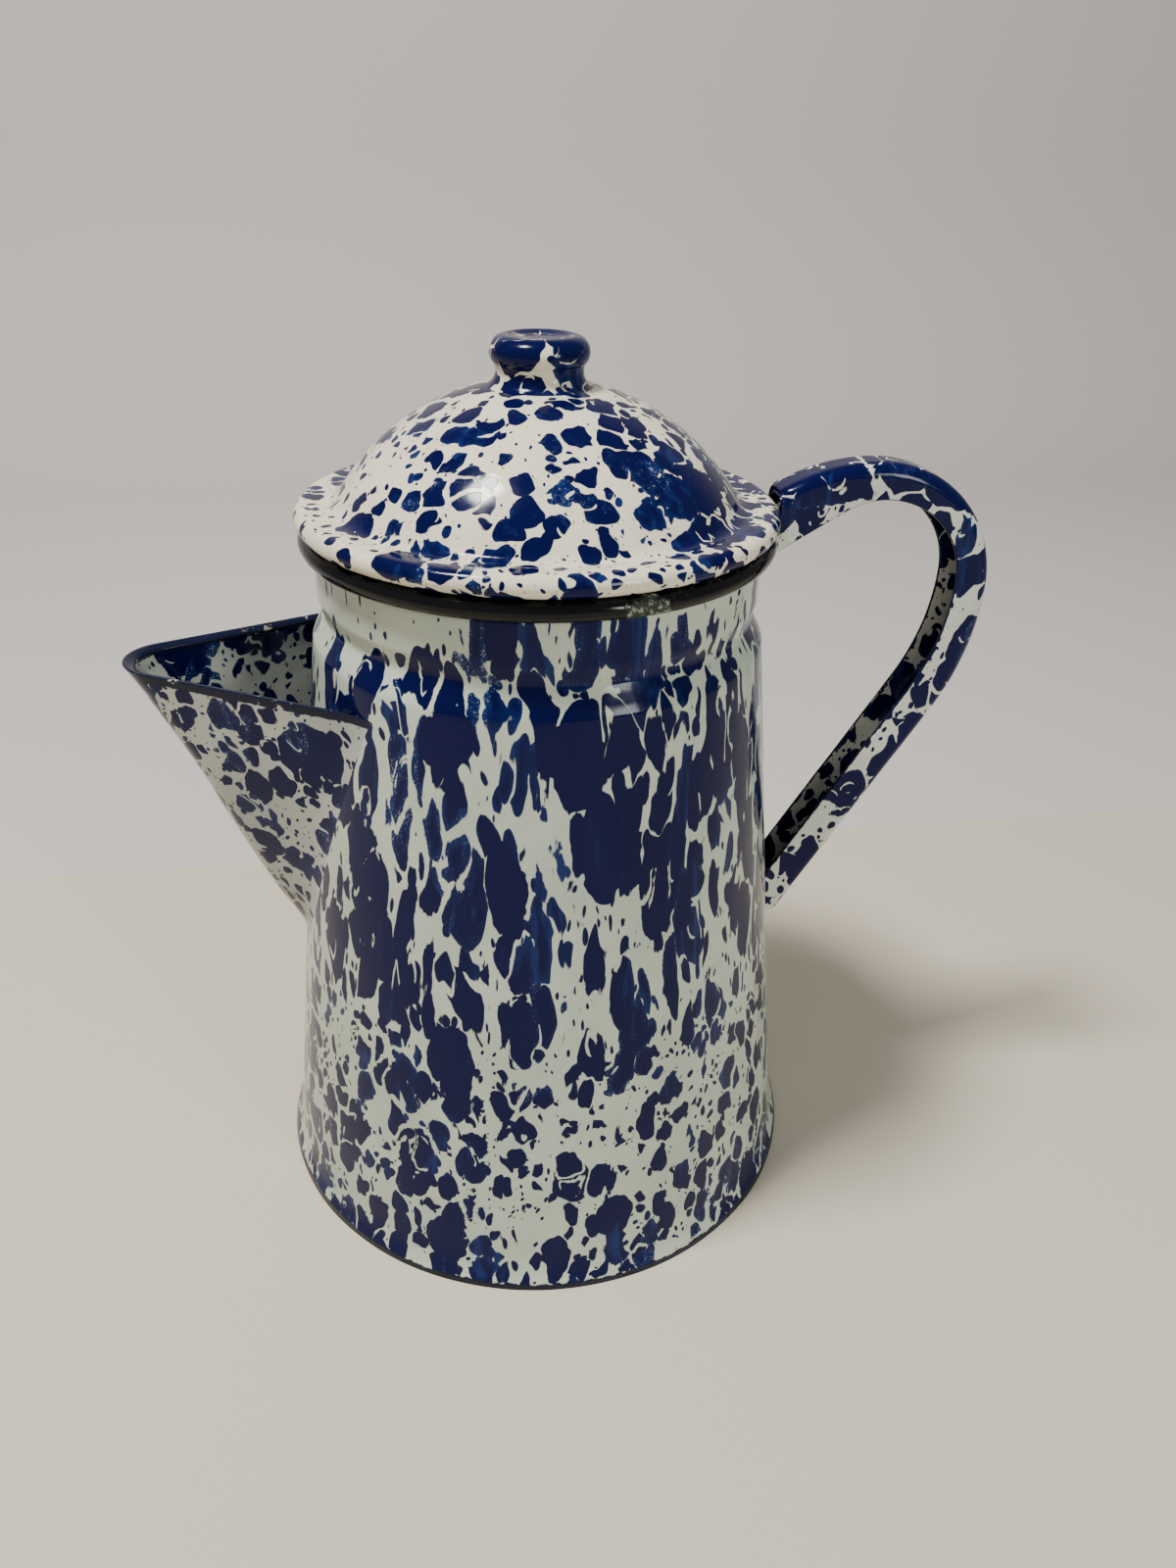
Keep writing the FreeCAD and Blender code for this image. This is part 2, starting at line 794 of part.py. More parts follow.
def make_basket():
    # Drawn cup with a drilled floor and a round bead at its mouth, and its centre sleeve.
    s = size
    cup = make_body("basket_cup")
    sheet, outer, corner = s["basket_sheet"], s["basket_radius"], s["basket_corner"]
    low, roll = s["basket_low"], s["basket_roll"]
    middle = s["basket_high"] - roll
    hole = s["sleeve_radius"] + s["press_gap"]
    drop = root(roll * roll - sheet * sheet)
    turn_outline(cup, "cup", [
        (hole, low),
        (outer - corner, low),
        (outer, low + corner, corner, 1),
        (outer, middle - roll),
        (outer + roll, middle, roll, 1),
        (outer, middle + roll, roll, 1),
        (outer - roll, middle, roll, 1),
        (outer - sheet, middle - drop, roll, 1),
        (outer - sheet, low + corner),
        (outer - corner, low + sheet, corner - sheet, -1),
        (hole, low + sheet),
    ])
    rings = [(s["ring_pitch"] * (n + 1.6), 8 + 6 * n) for n in range(4)]
    perforate(cup, rings, s["drain_hole"], low + sheet + 1, sheet + 2)
    sleeve = make_tube(
        "basket_sleeve", s["sleeve_radius"] - s["sleeve_sheet"], s["sleeve_radius"],
        low, s["sleeve_high"],
    )
    return [cup, sleeve]


def make_spreader():
    # Shallow perforated cover on the basket's bead, with a ferrule that slides on the tube.
    s = size
    plate = make_body("spreader_plate")
    sheet, seat, rim = s["spreader_sheet"], s["spreader_seat"], s["spreader_radius"]
    bore, crown = s["ferrule_radius"] + s["press_gap"], s["spreader_crown"]
    turn_outline(plate, "plate_turn", [
        (rim, seat - s["spreader_skirt"] + sheet),
        (rim, seat + sheet),
        (rim - s["spreader_land"], seat + sheet),
        (bore, seat + sheet + crown),
        (bore, seat + crown),
        (rim - s["spreader_land"], seat),
        (rim - sheet, seat),
        (rim - sheet, seat - s["spreader_skirt"] + sheet),
    ])
    rings = [(s["ring_pitch"] * (n + 1.7), 8 + 6 * n) for n in range(4)]
    top = seat + crown + sheet + 2
    perforate(plate, rings, s["drain_hole"], top, crown + sheet + 4)

    ferrule = make_body("spreader_ferrule")
    inner = s["ferrule_radius"] - s["ferrule_sheet"]
    low, high = seat + sheet, seat + sheet + s["ferrule_length"]
    ledge = seat + sheet + crown
    turn_outline(ferrule, "ferrule", [
        (inner, low),
        (s["ferrule_radius"], low),
        (s["ferrule_radius"], ledge),
        (s["ferrule_radius"] + 2, ledge),
        (s["ferrule_radius"] + 2, ledge + s["ferrule_sheet"]),
        (s["ferrule_radius"], ledge + s["ferrule_sheet"]),
        (s["ferrule_radius"], high),
        (inner, high),
    ])
    return [plate, ferrule]


def check_document(parts):
    for thing in doc.Objects:
        if "Invalid" in thing.State or "Error" in thing.State:
            raise RuntimeError(f"{thing.Name} is {thing.State}")
    for part in parts:
        if part.Shape.isNull() or not part.Shape.isValid():
            raise RuntimeError(f"{part.Label} has no valid shape")


def write_parts(parts):
    os.makedirs("parts", exist_ok=True)
    for part in parts:
        part.Shape.exportStep(f"parts/{part.Label}.step")
        box = part.Shape.BoundBox
        print(part.Label, len(part.Shape.Solids), round(part.Shape.Volume), box)


parts = [make_pot_body(), make_base_plate(), *make_rim(), make_spout(), make_handle()]
parts += [make_lid_shell(), make_knob()]
parts.append(make_tube(
    "lid_collar", size["collar_radius"] - size["collar_sheet"], size["collar_radius"],
    size["collar_low"], size["collar_high"],
))
parts += make_pump() + make_basket() + make_spreader()
doc.recompute()
check_document(parts)
write_parts(parts)
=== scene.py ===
import math
import bmesh
import bpy
import numpy as np
from mathutils import Matrix, Vector


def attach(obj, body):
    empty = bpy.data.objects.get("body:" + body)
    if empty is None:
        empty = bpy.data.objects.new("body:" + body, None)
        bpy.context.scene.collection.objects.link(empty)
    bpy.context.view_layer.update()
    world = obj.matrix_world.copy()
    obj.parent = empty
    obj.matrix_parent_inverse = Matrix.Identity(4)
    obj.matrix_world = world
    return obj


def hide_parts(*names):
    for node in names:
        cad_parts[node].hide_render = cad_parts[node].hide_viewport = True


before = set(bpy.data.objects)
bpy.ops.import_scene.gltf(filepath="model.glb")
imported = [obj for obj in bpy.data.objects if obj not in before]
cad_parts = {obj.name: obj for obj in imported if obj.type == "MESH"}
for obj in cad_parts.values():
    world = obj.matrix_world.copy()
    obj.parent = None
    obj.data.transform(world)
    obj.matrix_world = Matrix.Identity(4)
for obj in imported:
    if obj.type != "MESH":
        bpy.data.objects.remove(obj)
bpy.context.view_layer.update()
mm = 0.001
print("frame loaded")


# Shapes are numpy grids of points in millimetres; the mesh is made once a grid is whole.

def roundedPath(corners, step=1.5, arcStep=12.0):
    # A line through corners (x, z, radius), each corner replaced by its tangent arc, with
    # points added so that no run is longer than step.
    points = [np.array([corners[0][:2]], float)]
    for before, here, after in zip(corners, corners[1:], corners[2:]):
        a, b, c = (np.array(p[:2], float) for p in (before, here, after))
        inDir, outDir = (b - a) / np.linalg.norm(b - a), (c - b) / np.linalg.norm(c - b)
        cross = inDir[0] * outDir[1] - inDir[1] * outDir[0]
        turn = math.atan2(cross, float(inDir @ outDir))
        if here[2] <= 0 or abs(turn) < 1e-4:
            points.append(b[None])
            continue
        reach = here[2] * math.tan(abs(turn) / 2)
        side = np.array([-inDir[1], inDir[0]]) * math.copysign(1, turn)
        centre = b - inDir * reach + side * here[2]
        count = max(3, int(math.degrees(abs(turn)) / arcStep) + 2)
        angles = np.linspace(0, turn, count)
        spoke = -side * here[2]
        turned = np.stack([spoke[0] * np.cos(angles) - spoke[1] * np.sin(angles),
                           spoke[0] * np.sin(angles) + spoke[1] * np.cos(angles)], axis=1)
        points.append(centre + turned)
    points.append(np.array([corners[-1][:2]], float))
    return refine(np.concatenate(points), step)


def lengths(path):
    # How far along a path each of its points lies.
    return np.concatenate([[0], np.cumsum(np.linalg.norm(np.diff(path, axis=0), axis=1))])


def pick(path, length, spots):
    # The places along a path at the lengths in spots.
    return np.stack([np.interp(spots, length, column) for column in path.T], axis=1)


def arc(centre, radius, start, end, count):
    # Points (x + r cos a, z + r sin a) about the centre (x, z), a from start to end degrees.
    angle = np.radians(np.linspace(start, end, count))
    return centre + radius * np.stack([np.cos(angle), np.sin(angle)], axis=1)


def refine(path, step):
    # Adds points on the runs of a path, keeping its own points.
    length = lengths(path)
    keep = np.concatenate([[True], np.diff(length) > 1e-6])
    path, length = path[keep], length[keep]
    counts = np.ceil(np.diff(length) / step).astype(int)
    spots = [np.linspace(a, b, n, endpoint=False) for a, b, n in zip(length, length[1:], counts)]
    return pick(path, length, np.concatenate(spots + [length[-1:]]))


def lumps(points, size, seed):
    # Smooth unevenness from -1 to 1: the clipped sum of sine waves in random directions whose
    # wavelength is about size. points is (..., 3) in millimetres.
    draw = np.random.default_rng(seed)
    waves = draw.normal(size=(14, 3))
    waves *= (2 * math.pi / size) / np.linalg.norm(waves, axis=1)[:, None]
    waves *= draw.uniform(0.6, 1.4, 14)[:, None]
    shift = draw.uniform(0, 2 * math.pi, 14)
    return np.clip(np.sin(points @ waves.T + shift).sum(axis=-1) / 5.5, -1, 1)


def gridMesh(name, points, wrapRows=False, wrapColumns=True, attributes=None):
    # A grid of points (rows, columns, 3) in millimetres as quads, with doubles merged and
    # faces turned outwards.
    rows, columns = points.shape[:2]
    index = np.arange(rows * columns).reshape(rows, columns)
    lower = index if wrapRows else index[:-1]
    upper = np.roll(index, -1, axis=0) if wrapRows else index[1:]
    if wrapColumns:
        quads = np.stack([lower, np.roll(lower, -1, 1), np.roll(upper, -1, 1), upper], axis=-1)
    else:
        quads = np.stack([lower[:, :-1], lower[:, 1:], upper[:, 1:], upper[:, :-1]], axis=-1)
    return quadMesh(name, points.reshape(-1, 3), quads.reshape(-1, 4), attributes)


def quadMesh(name, points, quads, attributes=None):
    # A mesh of quads. attributes holds a value for every point under each name.
    mesh = bpy.data.meshes.new(name)
    mesh.vertices.add(len(points))
    mesh.vertices.foreach_set("co", (np.asarray(points, float) * mm).ravel())
    mesh.loops.add(quads.size)
    mesh.loops.foreach_set("vertex_index", quads.ravel().astype(np.int32))
    mesh.polygons.add(len(quads))
    mesh.polygons.foreach_set("loop_start", np.arange(0, quads.size, 4, dtype=np.int32))
    mesh.update(calc_edges=True)
    for key, values in (attributes or {}).items():
        layer = mesh.attributes.new(key, "FLOAT", "POINT")
        layer.data.foreach_set("value", np.asarray(values, float).ravel())
    work = bmesh.new()
    work.from_mesh(mesh)
    bmesh.ops.remove_doubles(work, verts=work.verts, dist=0.002 * mm)
    bmesh.ops.dissolve_degenerate(work, edges=work.edges, dist=0.0005 * mm)
    bmesh.ops.recalc_face_normals(work, faces=work.faces)
    if work.calc_volume(signed=True) < 0:
        bmesh.ops.reverse_faces(work, faces=work.faces)
    work.to_mesh(mesh)
    work.free()
    mesh.polygons.foreach_set("use_smooth", np.ones(len(mesh.polygons), bool))
    mesh.update()
    piece = bpy.data.objects.new(name, mesh)
    bpy.context.scene.collection.objects.link(piece)
    return piece


def spin(name, profile, around=256, wave=None, edge=None):
    # A closed profile (radius, height) turned about the Z axis: x = r cos a, y = r sin a. wave
    # moves each point along its radius by a function of its place, and edge says how much of
    # a free edge each point of the profile is.
    angle = np.linspace(0, 2 * math.pi, around, endpoint=False)
    radius, height = profile[:, :1], profile[:, 1:2]
    points = np.stack([radius * np.cos(angle), radius * np.sin(angle),
                       height + np.zeros_like(angle)], axis=-1)
    if wave is not None:
        shift = wave(points)
        points[..., 0] += shift * np.cos(angle)
        points[..., 1] += shift * np.sin(angle)
    attributes = None
    if edge is not None:
        attributes = {"edge": np.repeat(edge(profile)[:, None], around, axis=1)}
    return gridMesh(name, points, wrapRows=True, attributes=attributes)


def roundSection(radius, count=20):
    # A circle as (across, up): r cos a, r sin a.
    turn = np.linspace(0, 2 * math.pi, count, endpoint=False)
    return radius * np.stack([np.cos(turn), np.sin(turn)], axis=1)


def bars(name, starts, ends, section):
    # Straight bars from starts to ends, all of one section (across, up), as one mesh. Up is
    # +Z for level bars and +Y for upright ones.
    along = (ends - starts) / np.linalg.norm(ends - starts, axis=1)[:, None]
    up = np.where(np.abs(along[:, 2:]) > 0.5, [[0.0, 1.0, 0.0]], [[0.0, 0.0, 1.0]])
    across = np.cross(up, along)
    ring = section[:, 0, None] * across[:, None] + section[:, 1, None] * up[:, None]
    hub = np.zeros_like(ring)
    layers = np.stack([starts[:, None] + hub, starts[:, None] + ring,
                       ends[:, None] + ring, ends[:, None] + hub], axis=1)
    count, sides = len(starts), len(section)
    index = np.arange(count * 4 * sides).reshape(count, 4, sides)
    lower, upper = index[:, :-1], index[:, 1:]
    quads = np.stack([lower, np.roll(lower, -1, 2), np.roll(upper, -1, 2), upper], axis=-1)
    return quadMesh(name, layers.reshape(-1, 3), quads.reshape(-1, 4))


def cutAway(piece, cutter):
    # Takes the cutter out of the piece for good, and the cutter out of the scene.
    cut = piece.modifiers.new("cut", "BOOLEAN")
    cut.operation, cut.solver, cut.object = "DIFFERENCE", "EXACT", cutter
    graph = bpy.context.evaluated_depsgraph_get()
    finished = bpy.data.meshes.new_from_object(piece.evaluated_get(graph))
    piece.modifiers.clear()
    piece.data = finished
    finished.polygons.foreach_set("use_smooth", np.ones(len(finished.polygons), bool))
    bpy.data.objects.remove(cutter)
    return piece


def settle(piece, body, node, finish):
    # Gives a finished piece its material and hangs it on its CAD body in place of its node.
    piece.data.materials.clear()
    piece.data.materials.append(finish)
    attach(piece, body)
    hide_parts(node)


class Flow:
    # A socket's value, with Python's operators adding Math nodes.
    def __init__(self, tree, socket):
        self.tree = tree
        self.socket = socket

    def maths(self, operation, *values):
        return add(self.tree, "ShaderNodeMath", {"operation": operation}, dict(enumerate(values)))

    def __add__(self, other):
        return self.maths("ADD", self, other)

    def __radd__(self, other):
        return self.maths("ADD", other, self)

    def __sub__(self, other):
        return self.maths("SUBTRACT", self, other)

    def __rsub__(self, other):
        return self.maths("SUBTRACT", other, self)

    def __mul__(self, other):
        return self.maths("MULTIPLY", self, other)

    def __rmul__(self, other):
        return self.maths("MULTIPLY", other, self)

    def __truediv__(self, other):
        return self.maths("DIVIDE", self, other)

    def least(self, other):
        return self.maths("MINIMUM", self, other)

    def softLeast(self, other, width):
        # The smaller of the two, rounded off where they are within width of each other.
        return self.maths("SMOOTH_MIN", self, other, width)

    def most(self, other):
        return self.maths("MAXIMUM", self, other)

    def step(self, low, high):
        # 0 below low, 1 above high, smooth between.
        settings = {"interpolation_type": "SMOOTHSTEP"}
        return add(self.tree, "ShaderNodeMapRange", settings,
                   {"Value": self, "From Min": low, "From Max": high})

    def bump(self, strength, distance):
        # Read as a height, distance high where it is 1.
        values = {"Height": self, "Strength": strength, "Distance": distance}
        return add(self.tree, "ShaderNodeBump", {}, values)


def add(tree, kind, settings, values, output=0):
    # Adds one node: settings first, then each input's value or link. Returns one output.
    node = tree.nodes.new(kind)
    for key, value in settings.items():
        if key == "stops":
            ramp = node.color_ramp
            while len(ramp.elements) < len(value):
                ramp.elements.new(0.5)
            for element, (place, colour) in zip(ramp.elements, value):
                element.position = place
                element.color = colour if len(colour) == 4 else (*colour, 1)
        else:
            setattr(node, key, value)
    for key, value in values.items():
        socket = node.inputs[key]
        if isinstance(value, Flow):
            tree.links.new(value.socket, socket)
        elif isinstance(value, (tuple, list)) and len(value) == 3 and socket.type == "RGBA":
            socket.default_value = (*value, 1)
        else:
            socket.default_value = value
    return Flow(tree, node.outputs[output])


def outputs(flow, *names):
    # Other outputs of the node that a value comes from.
    node = flow.socket.node
    return [Flow(flow.tree, node.outputs[name]) for name in names]


def newFinish(name):
    # A new material with its shader, and the surface's own place in millimetres.
    finish = bpy.data.materials.new(name)
    finish.use_nodes = True
    tree = finish.node_tree
    shader = tree.nodes["Principled BSDF"]
    place = add(tree, "ShaderNodeTexCoord", {}, {}, "Object")
    scale = {"operation": "SCALE"}
    place = add(tree, "ShaderNodeVectorMath", scale, {0: place, "Scale": 1 / mm})
    return finish, tree, shader, place


def setShader(tree, shader, **values):
    # Sets or links the shader's sockets, named with _ for a space.
    for key, value in values.items():
        socket = shader.inputs[key.replace("_", " ")]
        if isinstance(value, Flow):
            tree.links.new(value.socket, socket)
        elif isinstance(value, tuple) and len(value) == 3:
            socket.default_value = (*value, 1)
        else:
            socket.default_value = value


def moved(tree, place, by=(0, 0, 0), scale=(1, 1, 1)):
    # A place scaled and then shifted.
    values = {0: place, 1: scale, 2: by}
    return add(tree, "ShaderNodeVectorMath", {"operation": "MULTIPLY_ADD"}, values)


def split(tree, place):
    # The x, y and z of a place.
    return outputs(add(tree, "ShaderNodeSeparateXYZ", {}, {0: place}), "X", "Y", "Z")


def awayFrom(tree, place, centre, scale):
    # The distance from the centre, with every axis scaled first.
    spot = tuple(c * s for c, s in zip(centre, scale))
    return add(tree, "ShaderNodeVectorMath", {"operation": "DISTANCE"},
               {0: moved(tree, place, scale=scale), 1: spot}, "Value")


def noise(tree, place, size, detail=2.0, rough=0.5, output="Fac"):
    # Soft noise about 0.5 whose lumps are about size across.
    values = {"Vector": place, "Scale": 1 / size, "Detail": detail, "Roughness": rough}
    return add(tree, "ShaderNodeTexNoise", {}, values, output)


def warp(tree, place, size, amount, detail=2.0):
    # Pushes the place about by a soft random vector, so that round shapes get uneven edges.
    push = noise(tree, place, size, detail, output="Color")
    push = add(tree, "ShaderNodeVectorMath", {"operation": "SUBTRACT"}, {0: push, 1: (0.5,) * 3})
    push = add(tree, "ShaderNodeVectorMath", {"operation": "SCALE"}, {0: push, "Scale": amount})
    return add(tree, "ShaderNodeVectorMath", {"operation": "ADD"}, {0: place, 1: push})


def drops(tree, place, size, fill, spread, vein, seed):
    # One scatter of enamel drops about size apart: how far inside a drop a point is, in
    # millimetres. Each cell's drop has its own radius, fill plus or minus half of spread, and
    # drops that meet keep a vein of ground between them; where vein is below 0 they merge.
    spot = moved(tree, place, by=(seed * 7.3, seed * 3.1, seed * 5.7), scale=(1 / size,) * 3)
    cell = add(tree, "ShaderNodeTexVoronoi", {"feature": "F1"}, {"Vector": spot, "Scale": 1.0})
    distance, colour = outputs(cell, "Distance", "Color")
    gap = add(tree, "ShaderNodeTexVoronoi", {"feature": "DISTANCE_TO_EDGE"},
              {"Vector": spot, "Scale": 1.0})
    pick = add(tree, "ShaderNodeSeparateColor", {}, {"Color": colour}, "Red")
    radius = (pick - 0.5) * spread + fill
    room = gap - vein * (1 / size)
    inside = (radius - distance).softLeast(room, enamelTexture["meeting"]) * size
    return inside, outputs(pick, "Green", "Blue")


def blend(tree, factor, below, above):
    # Colour below where factor is 0 and above where it is 1.
    return add(tree, "ShaderNodeMix", {"data_type": "RGBA"}, {0: factor, 6: below, 7: above}, 2)


def ramp(tree, factor, stops):
    # A row of three values read off against factor.
    colour = add(tree, "ShaderNodeValToRGB", {"stops": stops}, {"Fac": factor})
    split = add(tree, "ShaderNodeSeparateColor", {}, {"Color": colour}, "Red")
    return outputs(split, "Red", "Green", "Blue")


# The enamel's colours. ink is thick navy, thin is navy that ran out thin, edge is the dark
# scale of a free edge and chip is the chalky ground coat under it.
enamelColours = {
    "ground": (0.50, 0.545, 0.45),
    "shade": (0.42, 0.465, 0.385),
    "ink": (0.001, 0.0025, 0.042),
    "thin": (0.010, 0.026, 0.12),
    "edge": (0.006, 0.008, 0.026),
    "chip": (0.50, 0.46, 0.38),
    "speck": (0.20, 0.15, 0.09),
}


# Sizes in millimetres of the enamel's finer texture, and how rough and how deep it is.
enamelTexture = {
    "veins": 6.0, "tears": 9.0, "raggedEdge": 1.3, "runs": 5.0, "grain": 0.5, "clouds": 22.0,
    "specks": 0.7, "stains": 6.0, "wear": 2.2, "chips": 7.0, "haze": 14.0, "ripple": 9.0,
    "orangePeel": 2.5, "rough": 0.09, "hazeRough": 0.08, "speckRough": 0.2, "chipRough": 0.5,
    "inkHeight": 0.05, "rippleHeight": 0.25, "peelHeight": 0.02, "chipDepth": 0.15,
    "splashes": 8.0, "splashBend": 5.0, "meeting": 0.30, "shine": 0.17,
}


def splatterEnamel(name, spec):
    # Grey-white enamel with navy drops of three sizes and fine dots thrown on it. fills gives
    # how full the cells of the large, middle and small drops are at each height. A middle
    # drop that lies over a large one keeps a thin ring of ground round it. patches are
    # single large splashes (centre, half width, half height).
    texture = enamelTexture
    finish, tree, shader, place = newFinish(name)
    x, y, z = split(tree, place)
    low, high = spec["heights"]
    fills = ramp(tree, (z - low) / (high - low), spec["fills"])
    drift = (noise(tree, place, spec["patch"], 1.0) - 0.5) * spec["patchiness"]
    if spec.get("lean"):
        drift = drift + spec["lean"](x, y, z)

    # heights are squeezed where the enamel ran, which draws the drops out downwards
    runLow, runHigh, runFrom = spec["run"]
    squeezed = z.least(runFrom) * runLow + (z - runFrom).most(0.0) * runHigh
    flat = add(tree, "ShaderNodeCombineXYZ", {}, {"X": x, "Y": y, "Z": squeezed})
    soft = warp(tree, flat, spec["large"], spec["large"] * 0.75)
    soft = warp(tree, soft, spec["middle"] * 0.6, spec["wobble"], 1.0)
    vein = (noise(tree, flat, texture["veins"], 1.0) - spec["merge"]) * (spec["vein"] * 5.0)
    seed = spec["seed"]
    inside, (thinPick, grainPick) = drops(
        tree, soft, spec["large"], fills[0] + drift, 0.6, vein.least(spec["vein"] * 1.6), seed)
    bent = warp(tree, place, texture["splashes"], texture["splashBend"])
    for centre, wide, tall in spec["patches"]:
        away = awayFrom(tree, bent, centre, (1 / wide, 1 / wide, 1 / tall))
        inside = inside.most((1.0 - away) * min(wide, tall))
    for index, key in enumerate(("middle", "small")):
        drop, _ = drops(tree, soft, spec[key], fills[index + 1] + drift * 0.7, 0.75,
                        spec["vein"], seed + 1 + index)
        if key == "middle":
            ring = -1.0 * drop - (vein * 2.0).least(spec["vein"] * 1.8)
            around = vein.step(0.0, 0.1)
            inside = inside * (1.0 - around) + inside.least(ring) * around
        inside = drop.most(inside)
    dots, _ = drops(tree, soft, spec["small"] * 0.5, spec["dots"], 0.5, 0.1, seed + 3)
    inside = dots.most(inside)
    torn = noise(tree, flat, texture["tears"], 1.0).step(0.46, 0.62) * spec["torn"]
    ragged = noise(tree, flat, texture["raggedEdge"], 3.0, 0.6) - 0.5
    inside = inside + ragged * (torn + 0.15)
    ink = inside.step(-0.04, 0.10)

    # navy that ran thin is lighter, most of all at a drop's lower end, and grainy
    drawnOut = moved(tree, flat, scale=(1.6, 1.6, 0.35))
    streak = noise(tree, drawnOut, texture["runs"], 4.0, 0.65)
    pale = streak.step(0.50, 0.70) * thinPick.step(0.40, 0.80)
    shallow = 1.0 - inside.step(0.0, 1.3)
    pale = (pale + shallow * thinPick.step(0.55, 0.9) * 0.6).least(1.0)
    grain = noise(tree, place, texture["grain"], 1.0).step(0.60, 0.68)
    grain = grain * pale * grainPick.step(0.45, 0.75)
    navy = blend(tree, pale * 0.75, enamelColours["ink"], enamelColours["thin"])
    navy = blend(tree, grain * 0.45, navy, enamelColours["ground"])
    cloud = noise(tree, place, texture["clouds"], 3.0).step(0.25, 0.65)
    ground = blend(tree, cloud, spec.get("shade", enamelColours["shade"]),
                   spec.get("ground", enamelColours["ground"]))
    specks = noise(tree, place, texture["specks"], 2.0).step(0.66, 0.74) * spec["specks"]
    stain = noise(tree, place, texture["stains"], 4.0, 0.7).step(0.50, 0.75) * spec["specks"]
    ground = blend(tree, (specks + stain * 0.16).least(1.0), ground, enamelColours["speck"])
    colour = blend(tree, ink, ground, navy)

    # free edges are dark, worn through to pale chips in places
    edge = add(tree, "ShaderNodeAttribute", {"attribute_name": "edge"}, {}, "Fac")
    worn = noise(tree, place, texture["wear"], 4.0, 0.7)
    dark = (edge + (worn - 0.5) * 0.7).step(0.42, 0.55)
    chip = noise(tree, place, texture["chips"], 5.0, 0.7)
    chip = dark * chip.step(spec["chips"], spec["chips"] + 0.05)
    colour = blend(tree, dark, colour, enamelColours["edge"])
    colour = blend(tree, chip, colour, enamelColours["chip"])

    height = ink * texture["inkHeight"] - chip * texture["chipDepth"]
    height = height + noise(tree, place, texture["ripple"], 2.0) * texture["rippleHeight"]
    height = height + noise(tree, place, texture["orangePeel"]) * texture["peelHeight"]
    haze = noise(tree, place, texture["haze"], 4.0, 0.6).step(0.35, 0.75)
    rough = texture["rough"] + haze * texture["hazeRough"]
    rough = rough + specks * texture["speckRough"] + chip * texture["chipRough"]
    setShader(tree, shader, Base_Color=colour, Roughness=rough,
              Normal=height.bump(0.55, mm), IOR=1.5, Specular_IOR_Level=texture["shine"])
    return finish


potSplatter = {
    "heights": (0.0, 180.0),
    "fills": [(0.0, (0.42, 0.36, 0.28)), (0.20, (0.16, 0.36, 0.30)), (0.36, (0.18, 0.36, 0.28)),
              (0.52, (0.42, 0.38, 0.26)), (0.84, (0.64, 0.42, 0.24)), (0.93, (0.66, 0.40, 0.24)),
              (0.96, (0.36, 0.38, 0.26)), (1.0, (0.22, 0.38, 0.26))],
    "patch": 45.0, "patchiness": 0.34, "run": (0.66, 0.33, 72.0),
    "large": 8.6, "middle": 6.2, "small": 3.8, "dots": 0.14, "vein": 0.34, "wobble": 1.7,
    "torn": 0.9, "merge": 0.52, "seed": 1, "specks": 0.12, "chips": 0.66,
    "patches": [((-38, -58, 34), 5.0, 11.0), ((-27, -60, 64), 4.5, 16.0),
                ((-31, -64, 11), 5.5, 8.0), ((1, -69, 34), 4.5, 6.5), ((12, -69, 20), 5.5, 7.0),
                ((17, -62, 76), 4.5, 8.0), ((-11, -61, 100), 6.0, 9.0),
                ((-43, -48, 92), 7.0, 8.0), ((8, -58, 126), 5.0, 15.0),
                ((0, -56, 150), 9.0, 6.0), ((38, -44, 138), 4.0, 12.0),
                ((-28, -51, 150), 7.0, 6.0)],
    # on the side of the spout, fuller low down and whiter on the neck
    "lean": lambda x, y, z: (-14.0 - x).step(0, 24) * ((110.0 - z).step(0, 30) * 0.14
                                                       - (z - 156.0).step(0, 8) * 0.34),
}
lidSplatter = {
    "heights": (184.0, 228.0),
    "fills": [(0.0, (0.30, 0.34, 0.24)), (0.15, (0.24, 0.34, 0.24)), (0.5, (0.24, 0.36, 0.26)),
              (1.0, (0.38, 0.36, 0.24))],
    "patch": 30.0, "patchiness": 0.16, "run": (0.95, 0.95, 100.0),
    "large": 9.0, "middle": 6.4, "small": 3.6, "dots": 0.10, "vein": 0.32, "wobble": 0.9,
    "torn": 0.1, "merge": 0.50, "seed": 12, "specks": 0.8, "chips": 0.62,
    "ground": (0.74, 0.68, 0.53), "shade": (0.66, 0.63, 0.50),
    "patches": [((17, -31, 205), 5.5, 4.0), ((25, -33, 199), 6.5, 5.0), ((35, -28, 197), 9.0, 7.0),
                ((34, -33, 191), 9.0, 3.0), ((8, -42, 198), 4.5, 2.4), ((-1, -44, 196), 3.2, 2.8),
                ((-11, -43, 195), 3.2, 3.4), ((-34, -44, 189), 6.0, 3.0),
                ((-15, -23, 210), 4.0, 3.0)],
    # the right of the dome is fuller
    "lean": lambda x, y, z: (x - 14.0).step(0, 20) * 0.24,
}
spoutSplatter = {
    "heights": (74.0, 156.0), "fills": [(0.0, (0.28, 0.38, 0.28)), (1.0, (0.28, 0.38, 0.28))],
    "patch": 30.0, "patchiness": 0.16, "run": (0.9, 0.9, 100.0),
    "large": 10.0, "middle": 6.6, "small": 3.6, "dots": 0.16, "vein": 0.32, "wobble": 0.9,
    "torn": 0.1, "merge": 0.50, "seed": 24, "specks": 0.2, "chips": 0.60,
    # the ground and its shade are darker and greyer than the pot's: partly the spout's own greyer
    # enamel, partly painted shade for the spout's downward-facing outside, which also darkens its
    # inside
    "ground": (0.46, 0.47, 0.42), "shade": (0.36, 0.38, 0.35),
    "patches": [((-57, -28, 137), 9.0, 9.5), ((-71, -21, 141), 4.0, 4.0),
                ((-71, -18, 124), 4.4, 4.6), ((-71, -14, 105), 4.2, 5.0),
                ((-88, 10, 148), 7.0, 6.0)],
}
